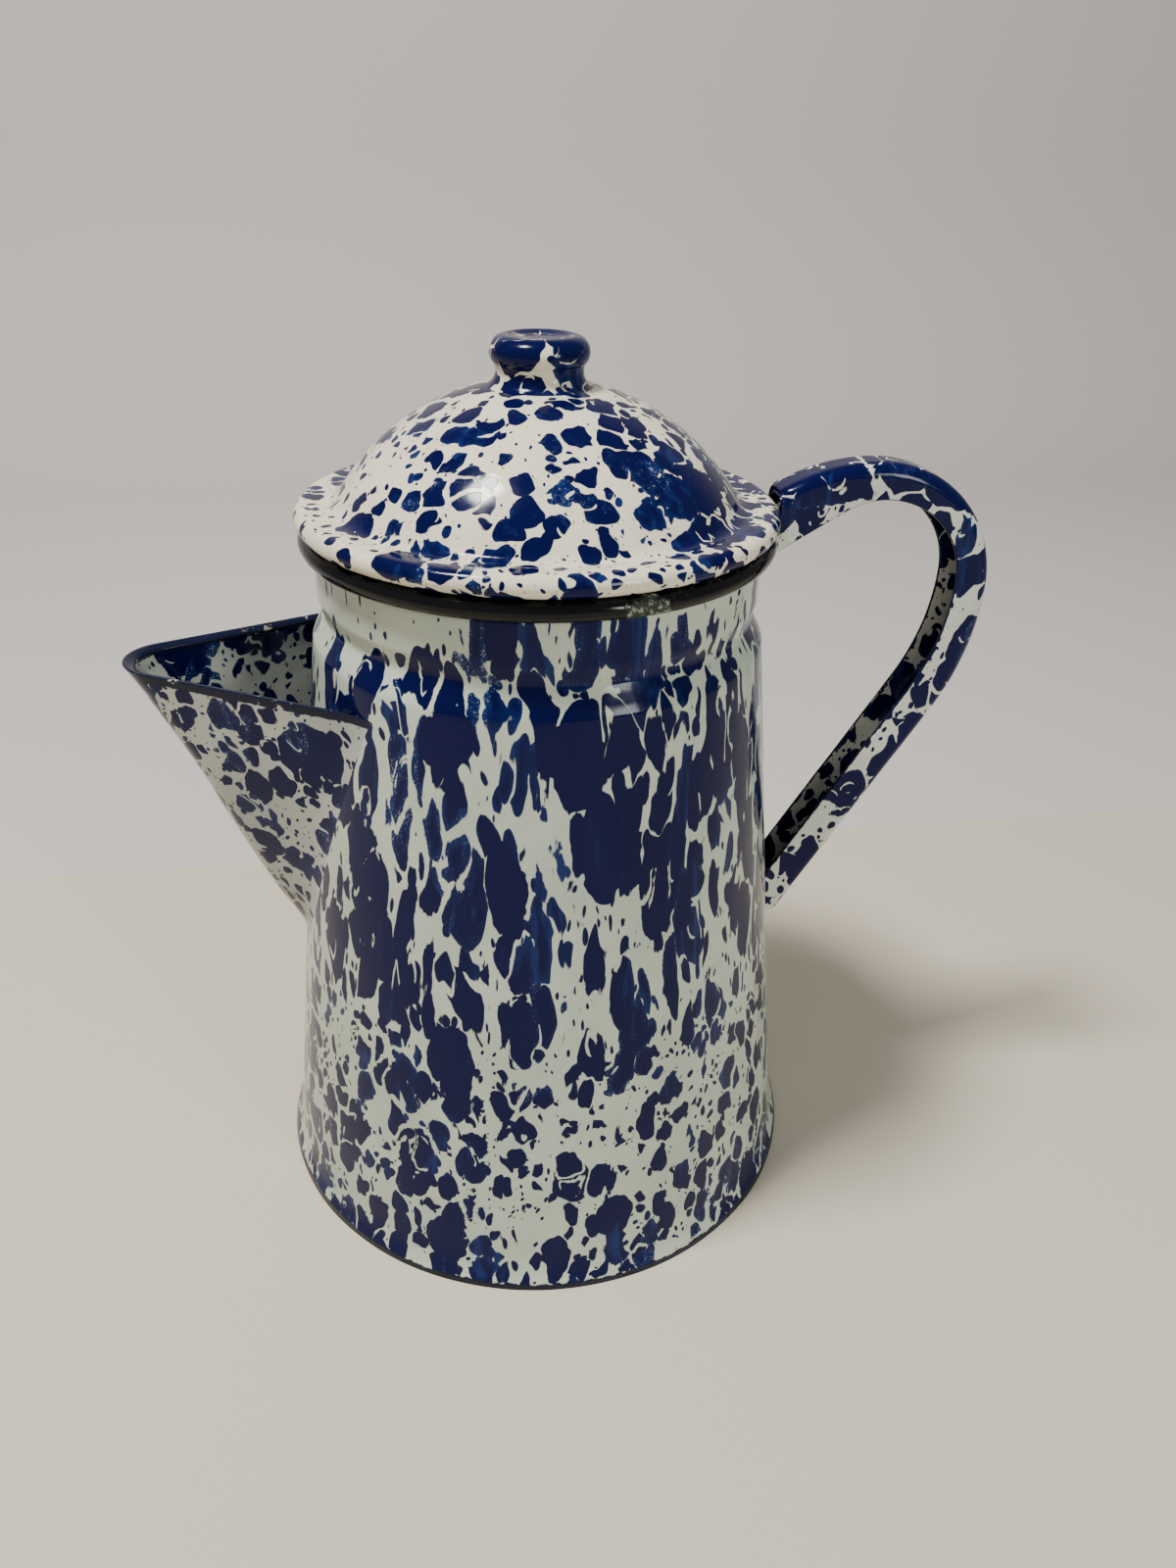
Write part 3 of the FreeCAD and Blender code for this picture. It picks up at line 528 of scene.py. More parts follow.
handleSplatter = {
    "heights": (67.0, 198.0),
    "fills": [(0.0, (0.44, 0.46, 0.26)), (0.6, (0.40, 0.46, 0.26)), (0.85, (0.56, 0.44, 0.24)),
              (1.0, (0.80, 0.42, 0.22))],
    "patch": 24.0, "patchiness": 0.16, "run": (0.8, 0.8, 100.0),
    "large": 9.5, "middle": 6.2, "small": 3.6, "dots": 0.12, "vein": 0.35, "wobble": 1.0,
    "torn": 0.15, "merge": 0.53, "seed": 33, "specks": 0.2, "chips": 0.60,
    "ground": (0.62, 0.63, 0.56), "shade": (0.54, 0.56, 0.50),
    "patches": [((103, -3, 192), 8.5, 5.5), ((113, -4, 148), 5.0, 10.0), ((72, -3, 194), 9.0, 6.0),
                ((116, -3, 172), 4.0, 6.0), ((76, -4, 82), 4.0, 6.0)],
}
knobSplatter = dict(lidSplatter, seed=43, large=9.0, middle=5.0, specks=0.4, patches=[],
                    fills=[(0.0, (0.96, 0.30, 0.20)), (1.0, (0.96, 0.30, 0.20))], lean=None)
potEnamel = splatterEnamel("potEnamel", potSplatter)
lidEnamel = splatterEnamel("lidEnamel", lidSplatter)
spoutEnamel = splatterEnamel("spoutEnamel", spoutSplatter)
handleEnamel = splatterEnamel("handleEnamel", handleSplatter)
knobEnamel = splatterEnamel("knobEnamel", knobSplatter)
print("enamel made")


# The black enamel of the rolled rim, with one chip, flattened, in front.
blackSizes = {
    "black": (0.004, 0.004, 0.005), "dust": (0.10, 0.09, 0.08),
    "chipDark": (0.02, 0.025, 0.02), "chipPale": (0.24, 0.26, 0.20),
    "chipCentre": (17.0, -54.0, 181.0), "chipRadius": 5.5, "chipRagged": 9.0, "chipFlat": 1.6,
    "shine": 0.22,
}


def blackEnamelFinish():
    # Glossy and slightly uneven, dusty in specks, chalky in the chip.
    spec = blackSizes
    finish, tree, shader, place = newFinish("blackEnamel")
    away = awayFrom(tree, place, spec["chipCentre"], (1, 1, spec["chipFlat"]))
    ragged = (noise(tree, place, 2.5, 4.0, 0.7) - 0.5) * spec["chipRagged"]
    chip = (spec["chipRadius"] - away + ragged).step(0.0, 0.6)
    chalk = noise(tree, place, 1.2, 3.0, 0.7).step(0.46, 0.66)
    pale = blend(tree, chalk, spec["chipDark"], spec["chipPale"])
    dust = noise(tree, place, 1.1, 4.0, 0.7).step(0.66, 0.74) * 0.35
    colour = blend(tree, chip, blend(tree, dust, spec["black"], spec["dust"]), pale)
    height = noise(tree, place, 6.0, 2.0) * 0.2 - chip * 0.3
    rough = 0.09 + chip * 0.45 + noise(tree, place, 8.0, 3.0) * 0.06
    setShader(tree, shader, Base_Color=colour, Roughness=rough,
              Normal=height.bump(0.5, mm), IOR=1.5, Specular_IOR_Level=spec["shine"])
    return finish


def spunMetal(name, colour, dull, ringSize=0.35, seed=0.0):
    # Metal turned on a lathe: fine rings round the axis, with dull patches and stains.
    finish, tree, shader, place = newFinish(name)
    x, y, z = split(tree, place)
    square = x * x + y * y
    radius = square.maths("SQRT", square)
    rings = add(tree, "ShaderNodeCombineXYZ", {}, {"X": radius, "Y": z, "Z": seed})
    fine = noise(tree, rings, ringSize, 3.0, 0.6)
    stain = noise(tree, place, 9.0, 5.0, 0.65)
    darker = tuple(c * 0.72 for c in colour)
    tone = blend(tree, fine * 0.5 + stain.step(0.3, 0.7) * 0.5, darker, colour)
    rough = dull + stain.step(0.45, 0.8) * 0.18 + fine * 0.1
    setShader(tree, shader, Base_Color=tone, Metallic=1.0, Roughness=rough,
              Normal=fine.bump(0.25, 0.05 * mm))
    return finish


blackEnamel = blackEnamelFinish()
aluminium = spunMetal("aluminium", (0.76, 0.76, 0.74), 0.24)
steel = spunMetal("steel", (0.56, 0.56, 0.57), 0.30, 0.5, 4.0)
print("metals made")


# The pot. outside runs up the wall from the foot's rim to the mouth: (radius, height, rounding).
potSizes = {
    "wall": 1.2,
    "outside": [(74.9, 0.0, 0), (73.1, 4.0, 9.0), (72.3, 8.2, 8.0), (56.1, 157.9, 4.0),
                (52.75, 164.3, 3.0), (54.15, 169.0, 3.0), (54.15, 180.2, 0)],
    "unevenness": 0.16,
    "strainer": {"hole": 2.4, "pitch": 8.0, "low": 92.0, "rows": (2, 3, 4, 5, 4),
                 "inside": -45.0, "outside": -80.0},
}
footRim, shoulder = potSizes["outside"][2], potSizes["outside"][3]


def wallRadius(z):
    # The straight cone between the foot and the shoulder.
    part = (z - footRim[1]) / (shoulder[1] - footRim[1])
    return footRim[0] + (shoulder[0] - footRim[0]) * part


def potWall():
    # The outline turned about the axis, one sheet thick, with the strainer drilled through
    # the wall behind the spout.
    outside = roundedPath(potSizes["outside"], step=2.0)
    inside = outside[::-1] - [potSizes["wall"], 0.0]
    lip = np.array([[outside[-1, 0] - potSizes["wall"] / 2, outside[-1, 1] + 0.2]])
    profile = np.concatenate([outside, lip, inside])

    def wave(points):  # inwards only, longer up the wall than round it
        return -potSizes["unevenness"] * (1 + lumps(points * [1, 1, 0.6], 34.0, 5)) / 2


    def edge(line):  # the foot's rim is free
        return np.clip(1.2 - line[:, 1] / 2.0, 0, 1)
    wall = spin("potWall", profile, 320, wave, edge=edge)
    strainer = potSizes["strainer"]
    pitch, low = strainer["pitch"], strainer["low"]
    spots = [(pitch * (place - (count - 1) / 2), low + pitch * row)
             for row, count in enumerate(strainer["rows"]) for place in range(count)]
    starts, ends = (np.array([(side, across, height) for across, height in spots])
                    for side in (strainer["inside"], strainer["outside"]))
    return cutAway(wall, bars("drills", starts, ends, roundSection(strainer["hole"])))


settle(potWall(), "pot", "pot_body", potEnamel)

# The base, with one shallow pressed ring. under is its lower face: (radius, height, rounding).
plateSizes = {
    "sheet": 1.2, "bendLow": 2.9, "bendHigh": 4.0, "inwards": 1.1,
    "under": [(0.01, 0.35, 0), (30.0, 0.35, 6), (34.0, 0.85, 6), (38.0, 0.35, 6),
              (60.0, 0.35, 4), (64.0, 0.02, 4), (68.5, 0.02, 2), (70.0, 1.6, 1.5),
              (72.9, 1.6, 0.8), (71.2, 7.0, 0)],
}


def basePlate():
    # The flat base turned up inside the foot: the lower face, and the same line one sheet
    # further in, up where it is flat and inwards where it stands.
    under = roundedPath(plateSizes["under"], step=2.5)
    over = under[::-1] + [0.0, plateSizes["sheet"]]
    bend = [plateSizes["bendLow"], plateSizes["bendHigh"]]
    over[:, 0] -= np.interp(over[:, 1], bend, [0.0, plateSizes["inwards"]])
    over[:, 0] = np.maximum(over[:, 0], 0.01)
    return spin("basePlate", np.concatenate([under, over]), 160)


settle(basePlate(), "pot", "base_plate", potEnamel)

rimSizes = {"radius": 55.0, "height": 182.0, "roll": 2.5, "unevenness": 0.12}


def rimBead():
    # The rolled edge: a ring whose section is round.
    profile = roundSection(rimSizes["roll"], 28) + [rimSizes["radius"], rimSizes["height"]]

    def wave(points):
        return -rimSizes["unevenness"] * (1 + lumps(points, 20.0, 8)) / 2
    return spin("rimBead", profile, 288, wave)


settle(rimBead(), "pot", "rim_bead", blackEnamel)
print("pot made")


# The spout. At five heights, reach is how far out its keel stands, half is the V's half angle
# in degrees and nose is the radius of the keel's rounding.
spoutSizes = {
    "heights": [74.0, 86.4, 104.2, 128.1, 156.0],
    "reach": [65.6, 72.6, 80.3, 90.0, 104.2],
    "half": [56.0, 42.0, 33.8, 29.2, 26.6],
    "nose": [14.0, 14.0, 14.0, 14.0, 10.5],
    "mouth": 150.4, "mouthRise": 2.0, "mouthFrom": -20.0, "mouthRun": 94.2, "deep": 78.0,
    "sheet": 1.2, "hem": 1.15, "hemEase": 1.2, "clear": 0.08, "unevenness": 0.3,
    "embed": 0.35, "seam": 1.5, "seamReach": 1.4,
}


def smoothLine(heights, values, z):
    # A smooth curve through the values: the natural cubic spline, solved from the condition
    # that the slope and the bend run on through every inner point.
    h, v = np.asarray(heights, float), np.asarray(values, float)
    gap = np.diff(h)
    matrix = np.eye(len(h))
    right = np.zeros(len(h))
    for i in range(1, len(h) - 1):
        matrix[i, i - 1:i + 2] = gap[i - 1], 2 * (gap[i - 1] + gap[i]), gap[i]
        right[i] = 6 * ((v[i + 1] - v[i]) / gap[i] - (v[i] - v[i - 1]) / gap[i - 1])
    bend = np.linalg.solve(matrix, right)
    i = np.clip(np.searchsorted(h, z) - 1, 0, len(h) - 2)
    a, b = (h[i + 1] - z) / gap[i], (z - h[i]) / gap[i]
    curve = a * v[i] + b * v[i + 1]
    return curve + ((a ** 3 - a) * bend[i] + (b ** 3 - b) * bend[i + 1]) * gap[i] ** 2 / 6


def spoutPoint(z, u, inset):
    # A point on one side of the V at height z, u from 0 at the keel to 1 at the pot's wall.
    # inset moves it towards the inside. The nose is an arc about (nose - reach, 0) and the
    # side is the tangent that leaves it at the half angle.
    reach, half, nose = (smoothLine(spoutSizes["heights"], spoutSizes[key], z)
                         for key in ("reach", "half", "nose"))
    half = np.radians(half)
    centre, radius = nose - reach, nose - inset
    wall = wallRadius(z) - spoutSizes["embed"]
    turn = math.pi / 2 - half
    sideX, sideY = centre - radius * np.sin(half), radius * np.cos(half)
    b = sideX * np.cos(half) + sideY * np.sin(half)
    c = sideX ** 2 + sideY ** 2 - wall ** 2
    length = np.maximum(-b - np.sqrt(np.maximum(b * b - c, 0)), 0)
    along = u * (radius * turn + length)
    angle = np.minimum(along / radius, turn)
    beyond = np.maximum(along - radius * turn, 0)
    x = centre - radius * np.cos(angle) + beyond * np.cos(half)
    y = radius * np.sin(angle) + beyond * np.sin(half)
    left = radius * turn + length - along
    short = np.minimum(np.hypot(x, y) / wall, 1.0)
    return x / short, y / short, left


def spoutShell():
    # Sheet folded to a V, with a rolled hem at its mouth and a bead of enamel at the seam.
    # Rows go down from the mouth and columns from the keel to the pot's wall.
    spec = spoutSizes
    deep = np.concatenate([np.linspace(0, 1, 14) ** 2 * 2.0, np.linspace(2.3, spec["deep"], 96)])
    side = np.concatenate([np.linspace(0, 0.8, 64, endpoint=False),
                           1 - 0.2 * np.linspace(1, 0, 26) ** 1.5])
    below, u = np.meshgrid(deep, side, indexing="ij")
    hem = spec["hem"]
    roll = np.sqrt(np.maximum(hem ** 2 - (hem - np.minimum(below, hem)) ** 2, 0))
    flat = spec["sheet"] / 2
    ease = np.clip((below - hem) / spec["hemEase"], 0, 1)
    thick = roll + (flat - hem) * (3 * ease ** 2 - 2 * ease ** 3) * (below > hem)
    middle = np.maximum(thick, flat)
    sides = []
    for way in (-1, 1):
        z = np.full_like(below, 150.0)
        left = np.full_like(below, 50.0)
        for repeat in range(5):  # the height, the place and the seam settle on each other
            seam = spec["seam"] * np.exp(-np.maximum(left - spec["embed"], 0) / spec["seamReach"])
            inset = middle + way * (thick + seam) + spec["clear"]
            x, y, left = spoutPoint(z, u, inset)
            top = spec["mouth"] + spec["mouthRise"] * (spec["mouthFrom"] - x) / spec["mouthRun"]
            z = top - (top - spec["heights"][0]) * below / deep[-1]
        dent = lumps(np.stack([x, y, z], axis=-1), 26.0, 17) * spec["unevenness"] * 0.5
        calm = np.clip(left / 8.0, 0, 1) * np.clip(below / 6.0, 0, 1)
        move = (dent - spec["unevenness"] * 0.5) * calm
        sides.append(np.stack([x - move, y + move, z], axis=-1))
    outer, inner = sides
    mirror = np.array([1.0, -1.0, 1.0])
    ring = np.concatenate([outer[:, ::-1] * mirror, outer[:, 1:], inner[:, ::-1],
                           inner[:, 1:] * mirror], axis=1)
    ring[-1] = np.concatenate([outer[-1, ::-1] * mirror, outer[-1, 1:], outer[-1, ::-1],
                               outer[-1, 1:] * mirror], axis=0)
    worn = np.clip(1.5 - deep / 2.3, 0, 1)
    edge = np.repeat(worn[:, None], ring.shape[1], axis=1)
    return gridMesh("spoutShell", ring, attributes={"edge": edge})


settle(spoutShell(), "pot", "spout_shell", spoutEnamel)
print("spout made")


# The handle: a channel whose back and free lips each run in three arcs and a straight line.
handleSizes = {
    "width": 12.0, "sheet": 1.1, "edge": 3.4, "lean": 31.0, "embed": 0.3, "unevenness": 0.12,
    "lipEase": 0.35,
    "back": {"crown": (83.5, 198.0), "start": 29.6, "upper": 50.0, "bend": 33.5, "lower": 68.0,
             "end": 67.0},
    "lip": {"crown": (85.3, 189.0), "start": 31.0, "upper": 20.0, "bend": 22.0, "lower": 58.0,
            "end": 80.4},
    "clear": 58.75, "neck": 54.2, "ledge": 179.0, "lowest": 65.2,
}


def strapLine(line):
    # One edge of the channel: an arc from the pot up to the crown, a tighter one down the
    # outside, a wide one into the lean, and a straight run to its end.
    lean = handleSizes["lean"]
    (x, z), upper, bend, lower = line["crown"], line["upper"], line["bend"], line["lower"]
    top = arc((x, z - upper), upper, 90 + line["start"], 90, 14)
    outside = arc((x, z - bend), bend, 90, 0, 44)
    side = arc((x + bend - lower, z - bend), lower, 0, -lean, 26)
    x, z = side[-1]
    run = np.linspace(0, z - line["end"], 50)
    straight = np.stack([x - run * math.tan(math.radians(lean)), z - run], axis=1)
    return np.concatenate([top, outside[1:], side[1:], straight[1:]])


def sectionSide(half, edge, depth, deep):
    # Half of the channel's section: along the back, round the corner and down the cheek.
    flat = np.linspace(0, half - edge, 4)[:-1]
    back = np.stack([np.full_like(flat, depth), flat], axis=1)
    corner = arc((depth + edge, half - edge), edge, 180, 90, 9)
    cheek = np.linspace(depth + edge, deep, 12)[1:]
    side = np.concatenate([back, corner, np.stack([cheek, np.full_like(cheek, half)], axis=1)])
    side[-1, 0] -= handleSizes["lipEase"]
    return side


def handleStrap():
    # A U of sheet carried along the two lines, closed on the pot at both ends. Each row of
    # cheeks is one straight line from the back to the lip.
    back, lip = strapLine(handleSizes["back"]), strapLine(handleSizes["lip"])
    share = np.linspace(0, 1, 21)
    cheeks = back[:, None] + (lip - back)[:, None] * share[:, None]

    # at the top the cheek opens out to the neck, clear of the rim and the lid
    clear, neck = handleSizes["clear"], handleSizes["neck"] - handleSizes["embed"]
    ledge = handleSizes["ledge"]
    slope = math.tan(math.radians(handleSizes["lean"]))
    root = np.array([[clear, back[0, 1] - 0.5], [clear, ledge + 0.3], [clear - 1.4, ledge],
                     [neck, ledge], [neck, lip[0, 1] - (lip[0, 0] - neck) * slope]])
    length = lengths(root)
    root = pick(root, length, share * length[-1])
    top = root + (cheeks[0] - root) * np.linspace(0, 1, 9)[:-1, None, None]

    # at the foot it closes on the wall
    wall = np.linspace(handleSizes["lowest"], handleSizes["lip"]["end"] + 0.2, 21)
    foot = np.stack([wallRadius(wall) - handleSizes["embed"], wall], axis=1)
    bottom = cheeks[-1] + (foot - cheeks[-1]) * np.linspace(0, 1, 9)[1:, None, None]
    cheeks = np.concatenate([top, cheeks, bottom])
    cheeks[..., 0] = np.where(cheeks[..., 1] > ledge + 0.2,
                              np.maximum(cheeks[..., 0], clear), cheeks[..., 0])

    # section: (depth from the back, half width), from the middle of the back to the lip
    half, sheet, edge = handleSizes["width"] / 2, handleSizes["sheet"], handleSizes["edge"]
    rows = []
    for line in cheeks:
        length = lengths(line)
        deep = length[-1]
        outer = sectionSide(half, edge, 0.0, deep)
        inner = sectionSide(half - sheet, edge - sheet, sheet, deep)
        right = np.concatenate([outer, [[deep, half - sheet / 2]], inner[::-1]])
        section = np.concatenate([right, right[::-1] * [1, -1]])
        spot = pick(line, length, section[:, 0])
        rows.append(np.stack([spot[:, 0], section[:, 1], spot[:, 1]], axis=1))
    rows = np.array(rows)
    count = rows.shape[1] // 2
    fromLip = np.abs(np.arange(rows.shape[1]) % count - count // 2)
    edgeTone = np.repeat(np.exp(-fromLip / 1.4)[None], len(rows), axis=0)
    dent = np.abs(lumps(rows, 22.0, 9)) * handleSizes["unevenness"]
    rows[..., 1] -= np.sign(rows[..., 1]) * dent
    for end in (0, -1):
        rows[end] = (rows[end] + rows[end][::-1] * [1, -1, 1]) / 2
    return gridMesh("handleStrap", rows, attributes={"edge": edgeTone})


settle(handleStrap(), "pot", "handle_strap", handleEnamel)
print("handle made")


# The lid. dome and domeCentre are the dome's radius and the height of its centre.
lidSizes = {
    "sheet": 1.1, "dome": 56.7, "domeCentre": 160.5, "flange": 189.95, "gutter": 3.5,
    "dip": 0.35, "curl": 2.6, "curlCentre": 55.3, "vent": 1.5, "unevenness": 0.2,
}


def lidShell():
    # A spherical dome that sweeps into a flat flange with a curled edge.
    radius, sheet, dip = lidSizes["dome"], lidSizes["sheet"], lidSizes["dip"]
    centre, flange = (0, lidSizes["domeCentre"]), lidSizes["flange"]
    curl, curlCentre = lidSizes["curl"], (lidSizes["curlCentre"], flange - lidSizes["curl"])
    foot = math.sqrt(radius ** 2 - (flange - centre[1]) ** 2)
    start, end = (math.degrees(math.acos(r / radius)) for r in (lidSizes["vent"], foot - 1.8))
    dome = arc(centre, radius, start, end, 60)
    gutter = roundedPath([(*dome[-1], 0), (foot + 0.2, flange - dip, lidSizes["gutter"]),
                          (foot + 4.0, flange - 0.05, 6.0), (curlCentre[0], flange, 0)], step=0.7)
    outer = arc(curlCentre, curl, 90, -90, 18)
    inner = arc(curlCentre, curl - sheet, -90, 90, 18)
    under = gutter[1:-1][::-1] - [dip, sheet]
    ceiling = arc(centre, radius - sheet, end, start, 60)
    profile = np.concatenate([dome, gutter[1:-1], outer, inner, under, ceiling])

    def wave(points):
        calm = np.clip((np.linalg.norm(points[..., :2], axis=-1) - 20.0) / 20.0, 0, 1)
        return -lidSizes["unevenness"] * calm * (1 + lumps(points, 30.0, 12)) / 2
    return spin("lidShell", profile, 320, wave)


settle(lidShell(), "lid", "lid_shell", lidEnamel)

collarSizes = {"radius": 51.2, "sheet": 0.9, "low": 173.0, "high": 188.8}


def lidCollar():
    # A short tube with an eased lower edge.
    outer, inner = collarSizes["radius"], collarSizes["radius"] - collarSizes["sheet"]
    low, high = collarSizes["low"], collarSizes["high"]
    profile = roundedPath([(outer, high, 0), (outer, low + 0.8, 1.5), (outer - 0.3, low, 0.3),
                           (inner, low, 0.3), (inner, high, 0)], step=2.0)
    return spin("lidCollar", profile, 192)


settle(lidCollar(), "lid", "lid_collar", lidEnamel)

knobSizes = {"sheet": 1.1, "foot": (13.6, 215.48), "neck": (10.25, 219.0),
             "belly": (8.0, 223.3), "roll": 3.6, "dish": 0.7}


def lidKnob():
    # A waist that flares onto the dome, a round belly and a shallow dish on top.
    (footR, footZ), (neckR, neckZ) = knobSizes["foot"], knobSizes["neck"]
    bellyR, bellyZ = knobSizes["belly"]
    roll = knobSizes["roll"]
    belly = arc((bellyR, bellyZ), roll, -48, 100, 30)
    foot = roundedPath([(footR, footZ, 0), (neckR, footZ + 0.95, 3.4),
                        (neckR - 0.05, neckZ + 0.6, 2.0), (*belly[0], 0)], step=0.4, arcStep=6)
    dish = roundedPath([(*belly[-1], 0), (5.6, bellyZ + roll - 0.75, 3.0),
                        (0.01, bellyZ + roll - knobSizes["dish"], 0)], step=0.8)
    outer = np.concatenate([foot[:-1], belly, dish[1:]])
    away = np.gradient(outer, axis=0)
    away = np.stack([away[:, 1], -away[:, 0]], axis=1)
    away /= np.linalg.norm(away, axis=1)[:, None]
    inner = outer - away * knobSizes["sheet"]
    inner[:, 0] = np.maximum(inner[:, 0], 0.01)
    inner[:, 1] = np.maximum(inner[:, 1], footZ)
    return spin("lidKnob", np.concatenate([outer, inner[::-1]]), 144)


settle(lidKnob(), "lid", "lid_knob", knobEnamel)
print("lid made")


# The percolating insert, in the pot's own frame. tube, stop, seat, disc and sleeve are
# (bore, outer radius, low, high).
insertSizes = {
    "tube": (3.2, 4.0, 11.0, 198.0),
    "stop": (4.05, 7.0, 98.0, 102.0),
    "seat": (3.0, 6.75, 5.4, 6.2),
    "disc": (0.01, 5.6, 6.3, 7.3),
    "sleeve": (4.5, 5.3, 102.3, 154.0),
    "bell": {"rim": 34.0, "low": 1.6, "shoulder": 4.0, "neck": 19.0, "high": 26.0,
             "bore": 4.05, "sheet": 1.0, "notches": 6, "notchWidth": 9.0, "notchHeight": 2.2},
    "basket": {"outer": 42.0, "low": 102.3, "high": 157.0, "sheet": 0.9, "corner": 5.0,
               "bead": 1.6, "bore": 5.35},
    "spreader": {"rim": 44.9, "seat": 157.4, "sheet": 0.9, "skirt": 4.0, "land": 7.0,
                 "crown": 3.2, "bore": 5.45},
    "ferrule": {"bore": 4.6, "barrel": 5.4, "flange": 7.4, "low": 158.3, "flangeLow": 161.5,
                "flangeHigh": 162.3, "high": 166.3},
    "cage": {"bore": 4.05, "inner": 6.8, "outer": 7.6, "low": 5.4, "high": 15.0, "sheet": 0.8},
    "hole": 1.3, "pitch": 7.5,
}


def ringPiece(name, sizes, rounding=0.25, around=96):
    # A ring or tube with its edges eased.
    bore, outer, low, high = sizes
    ease = min(rounding, (outer - bore) * 0.4, (high - low) * 0.4)
    middle = (bore + outer) / 2
    profile = roundedPath([(middle, low, 0), (outer, low, ease), (outer, high, ease),
                           (bore, high, ease), (bore, low, ease), (middle, low, 0)],
                          step=3.0, arcStep=20)
    return spin(name, profile[:-1], around)


def pumpBell():
    # A flared foot on a neck, with notches cut in its rim.
    bell = insertSizes["bell"]
    rim, low, shoulder, neck = bell["rim"], bell["low"], bell["shoulder"], bell["neck"]
    sheet, bore, high = bell["sheet"], bell["bore"], bell["high"]
    outer = roundedPath([(rim - sheet / 2, low, 0), (rim, low + 0.1, 0.3), (rim, shoulder, 1.6),
                         (bore + sheet, neck, 4.0), (bore + sheet, high, 0.3),
                         (bore + sheet / 2, high, 0)], step=1.5)
    inner = roundedPath([(bore, high - 0.1, 0), (bore, neck - sheet * 0.6, 5.0),
                         (rim - sheet, shoulder - sheet * 0.6, 0.8), (rim - sheet, low + 0.1, 0)],
                        step=1.5)
    piece = spin("pumpBell", np.concatenate([outer, inner]), 144)
    turn = np.linspace(0, 2 * math.pi, bell["notches"], endpoint=False)
    spoke = np.stack([np.cos(turn), np.sin(turn), np.zeros_like(turn)], axis=1)
    level = np.array([0, 0, low])
    half, rise = bell["notchWidth"] / 2, bell["notchHeight"]
    notch = np.array([(-half, -1.0), (half, -1.0), (half, rise), (-half, rise)])
    slots = bars("slots", spoke * (rim - 4) + level, spoke * (rim + 2) + level, notch)
    return cutAway(piece, slots)


def ringHoles(name, first, low, high):
    # Four rings of upright drills, 8, 14, 20 and 26 to a ring.
    places = []
    for ring in range(4):
        turn = np.linspace(0, 2 * math.pi, 8 + 6 * ring, endpoint=False)
        radius = insertSizes["pitch"] * (ring + first)
        places.append(np.stack([radius * np.cos(turn), radius * np.sin(turn),
                                np.full_like(turn, low)], axis=1))
    starts = np.concatenate(places)
    section = roundSection(insertSizes["hole"], 14)
    return bars(name, starts, starts + [0, 0, high - low], section)


def basketCup():
    # A drawn cup with a drilled floor and a rolled bead.
    cup = insertSizes["basket"]
    outer, low, sheet, corner = cup["outer"], cup["low"], cup["sheet"], cup["corner"]
    bead, bore = cup["bead"], cup["bore"]
    middle = cup["high"] - bead
    edge = arc((outer, middle), bead, -90, 235, 30)
    outside = roundedPath([(bore, low, 0), (outer, low, corner), (outer, middle - bead, 0)], 2.0)
    inside = roundedPath([(outer - sheet, middle - bead, 0), (outer - sheet, low + sheet,
                          corner - sheet), (bore, low + sheet, 0)], 2.0)
    piece = spin("basketCup", np.concatenate([outside[:-1], edge, inside]), 192)
    return cutAway(piece, ringHoles("floorDrills", 1.6, low - 2, low + sheet + 2))


def spreaderPlate():
    # A low cone with a flat land and a turned-down skirt, drilled all over.
    plate = insertSizes["spreader"]
    rim, seat, sheet, land = plate["rim"], plate["seat"], plate["sheet"], plate["land"]
    crown, bore, skirt = plate["crown"], plate["bore"], plate["skirt"]
    foot = seat - skirt + sheet
    over = roundedPath([(rim - sheet / 2, foot, 0), (rim, foot + 0.1, 0.3),
                        (rim, seat + sheet, 1.0), (rim - land, seat + sheet, 3.0),
                        (bore, seat + sheet + crown, 0)], step=2.0)
    under = roundedPath([(bore, seat + crown, 0), (rim - land, seat, 3.0),
                         (rim - sheet, seat, 0.3), (rim - sheet, foot + 0.1, 0)], step=2.0)
    piece = spin("spreaderPlate", np.concatenate([over, under]), 192)
    return cutAway(piece, ringHoles("plateDrills", 1.7, seat - 2, seat + sheet + crown + 2))


def spreaderFerrule():
    # A short tube with a flange round it.
    part = insertSizes["ferrule"]
    bore, barrel, flange, low = part["bore"], part["barrel"], part["flange"], part["low"]
    flangeLow, flangeHigh, high = part["flangeLow"], part["flangeHigh"], part["high"]
    profile = roundedPath([(bore + 0.1, low, 0), (barrel, low + 0.05, 0.2),
                           (barrel, flangeLow, 0.15), (flange, flangeLow, 0.3),
                           (flange, flangeHigh, 0.3), (barrel, flangeHigh, 0.3),
                           (barrel, high, 0.3), (bore, high, 0.3), (bore, low + 0.05, 0)],
                          step=1.0, arcStep=24)
    return spin("spreaderFerrule", profile, 96)


def valveCage():
    # A cap over the disc, open below and bored for the tube above.
    cage = insertSizes["cage"]
    bore, inner, outer, sheet = cage["bore"], cage["inner"], cage["outer"], cage["sheet"]
    low, high = cage["low"], cage["high"]
    profile = roundedPath([(bore, high, 0), (outer, high, 0.8), (outer, low, 0.2),
                           (inner, low, 0.2), (inner, high - sheet, 0.3),
                           (bore, high - sheet, 0)], step=1.5)
    return spin("valveCage", profile, 96)


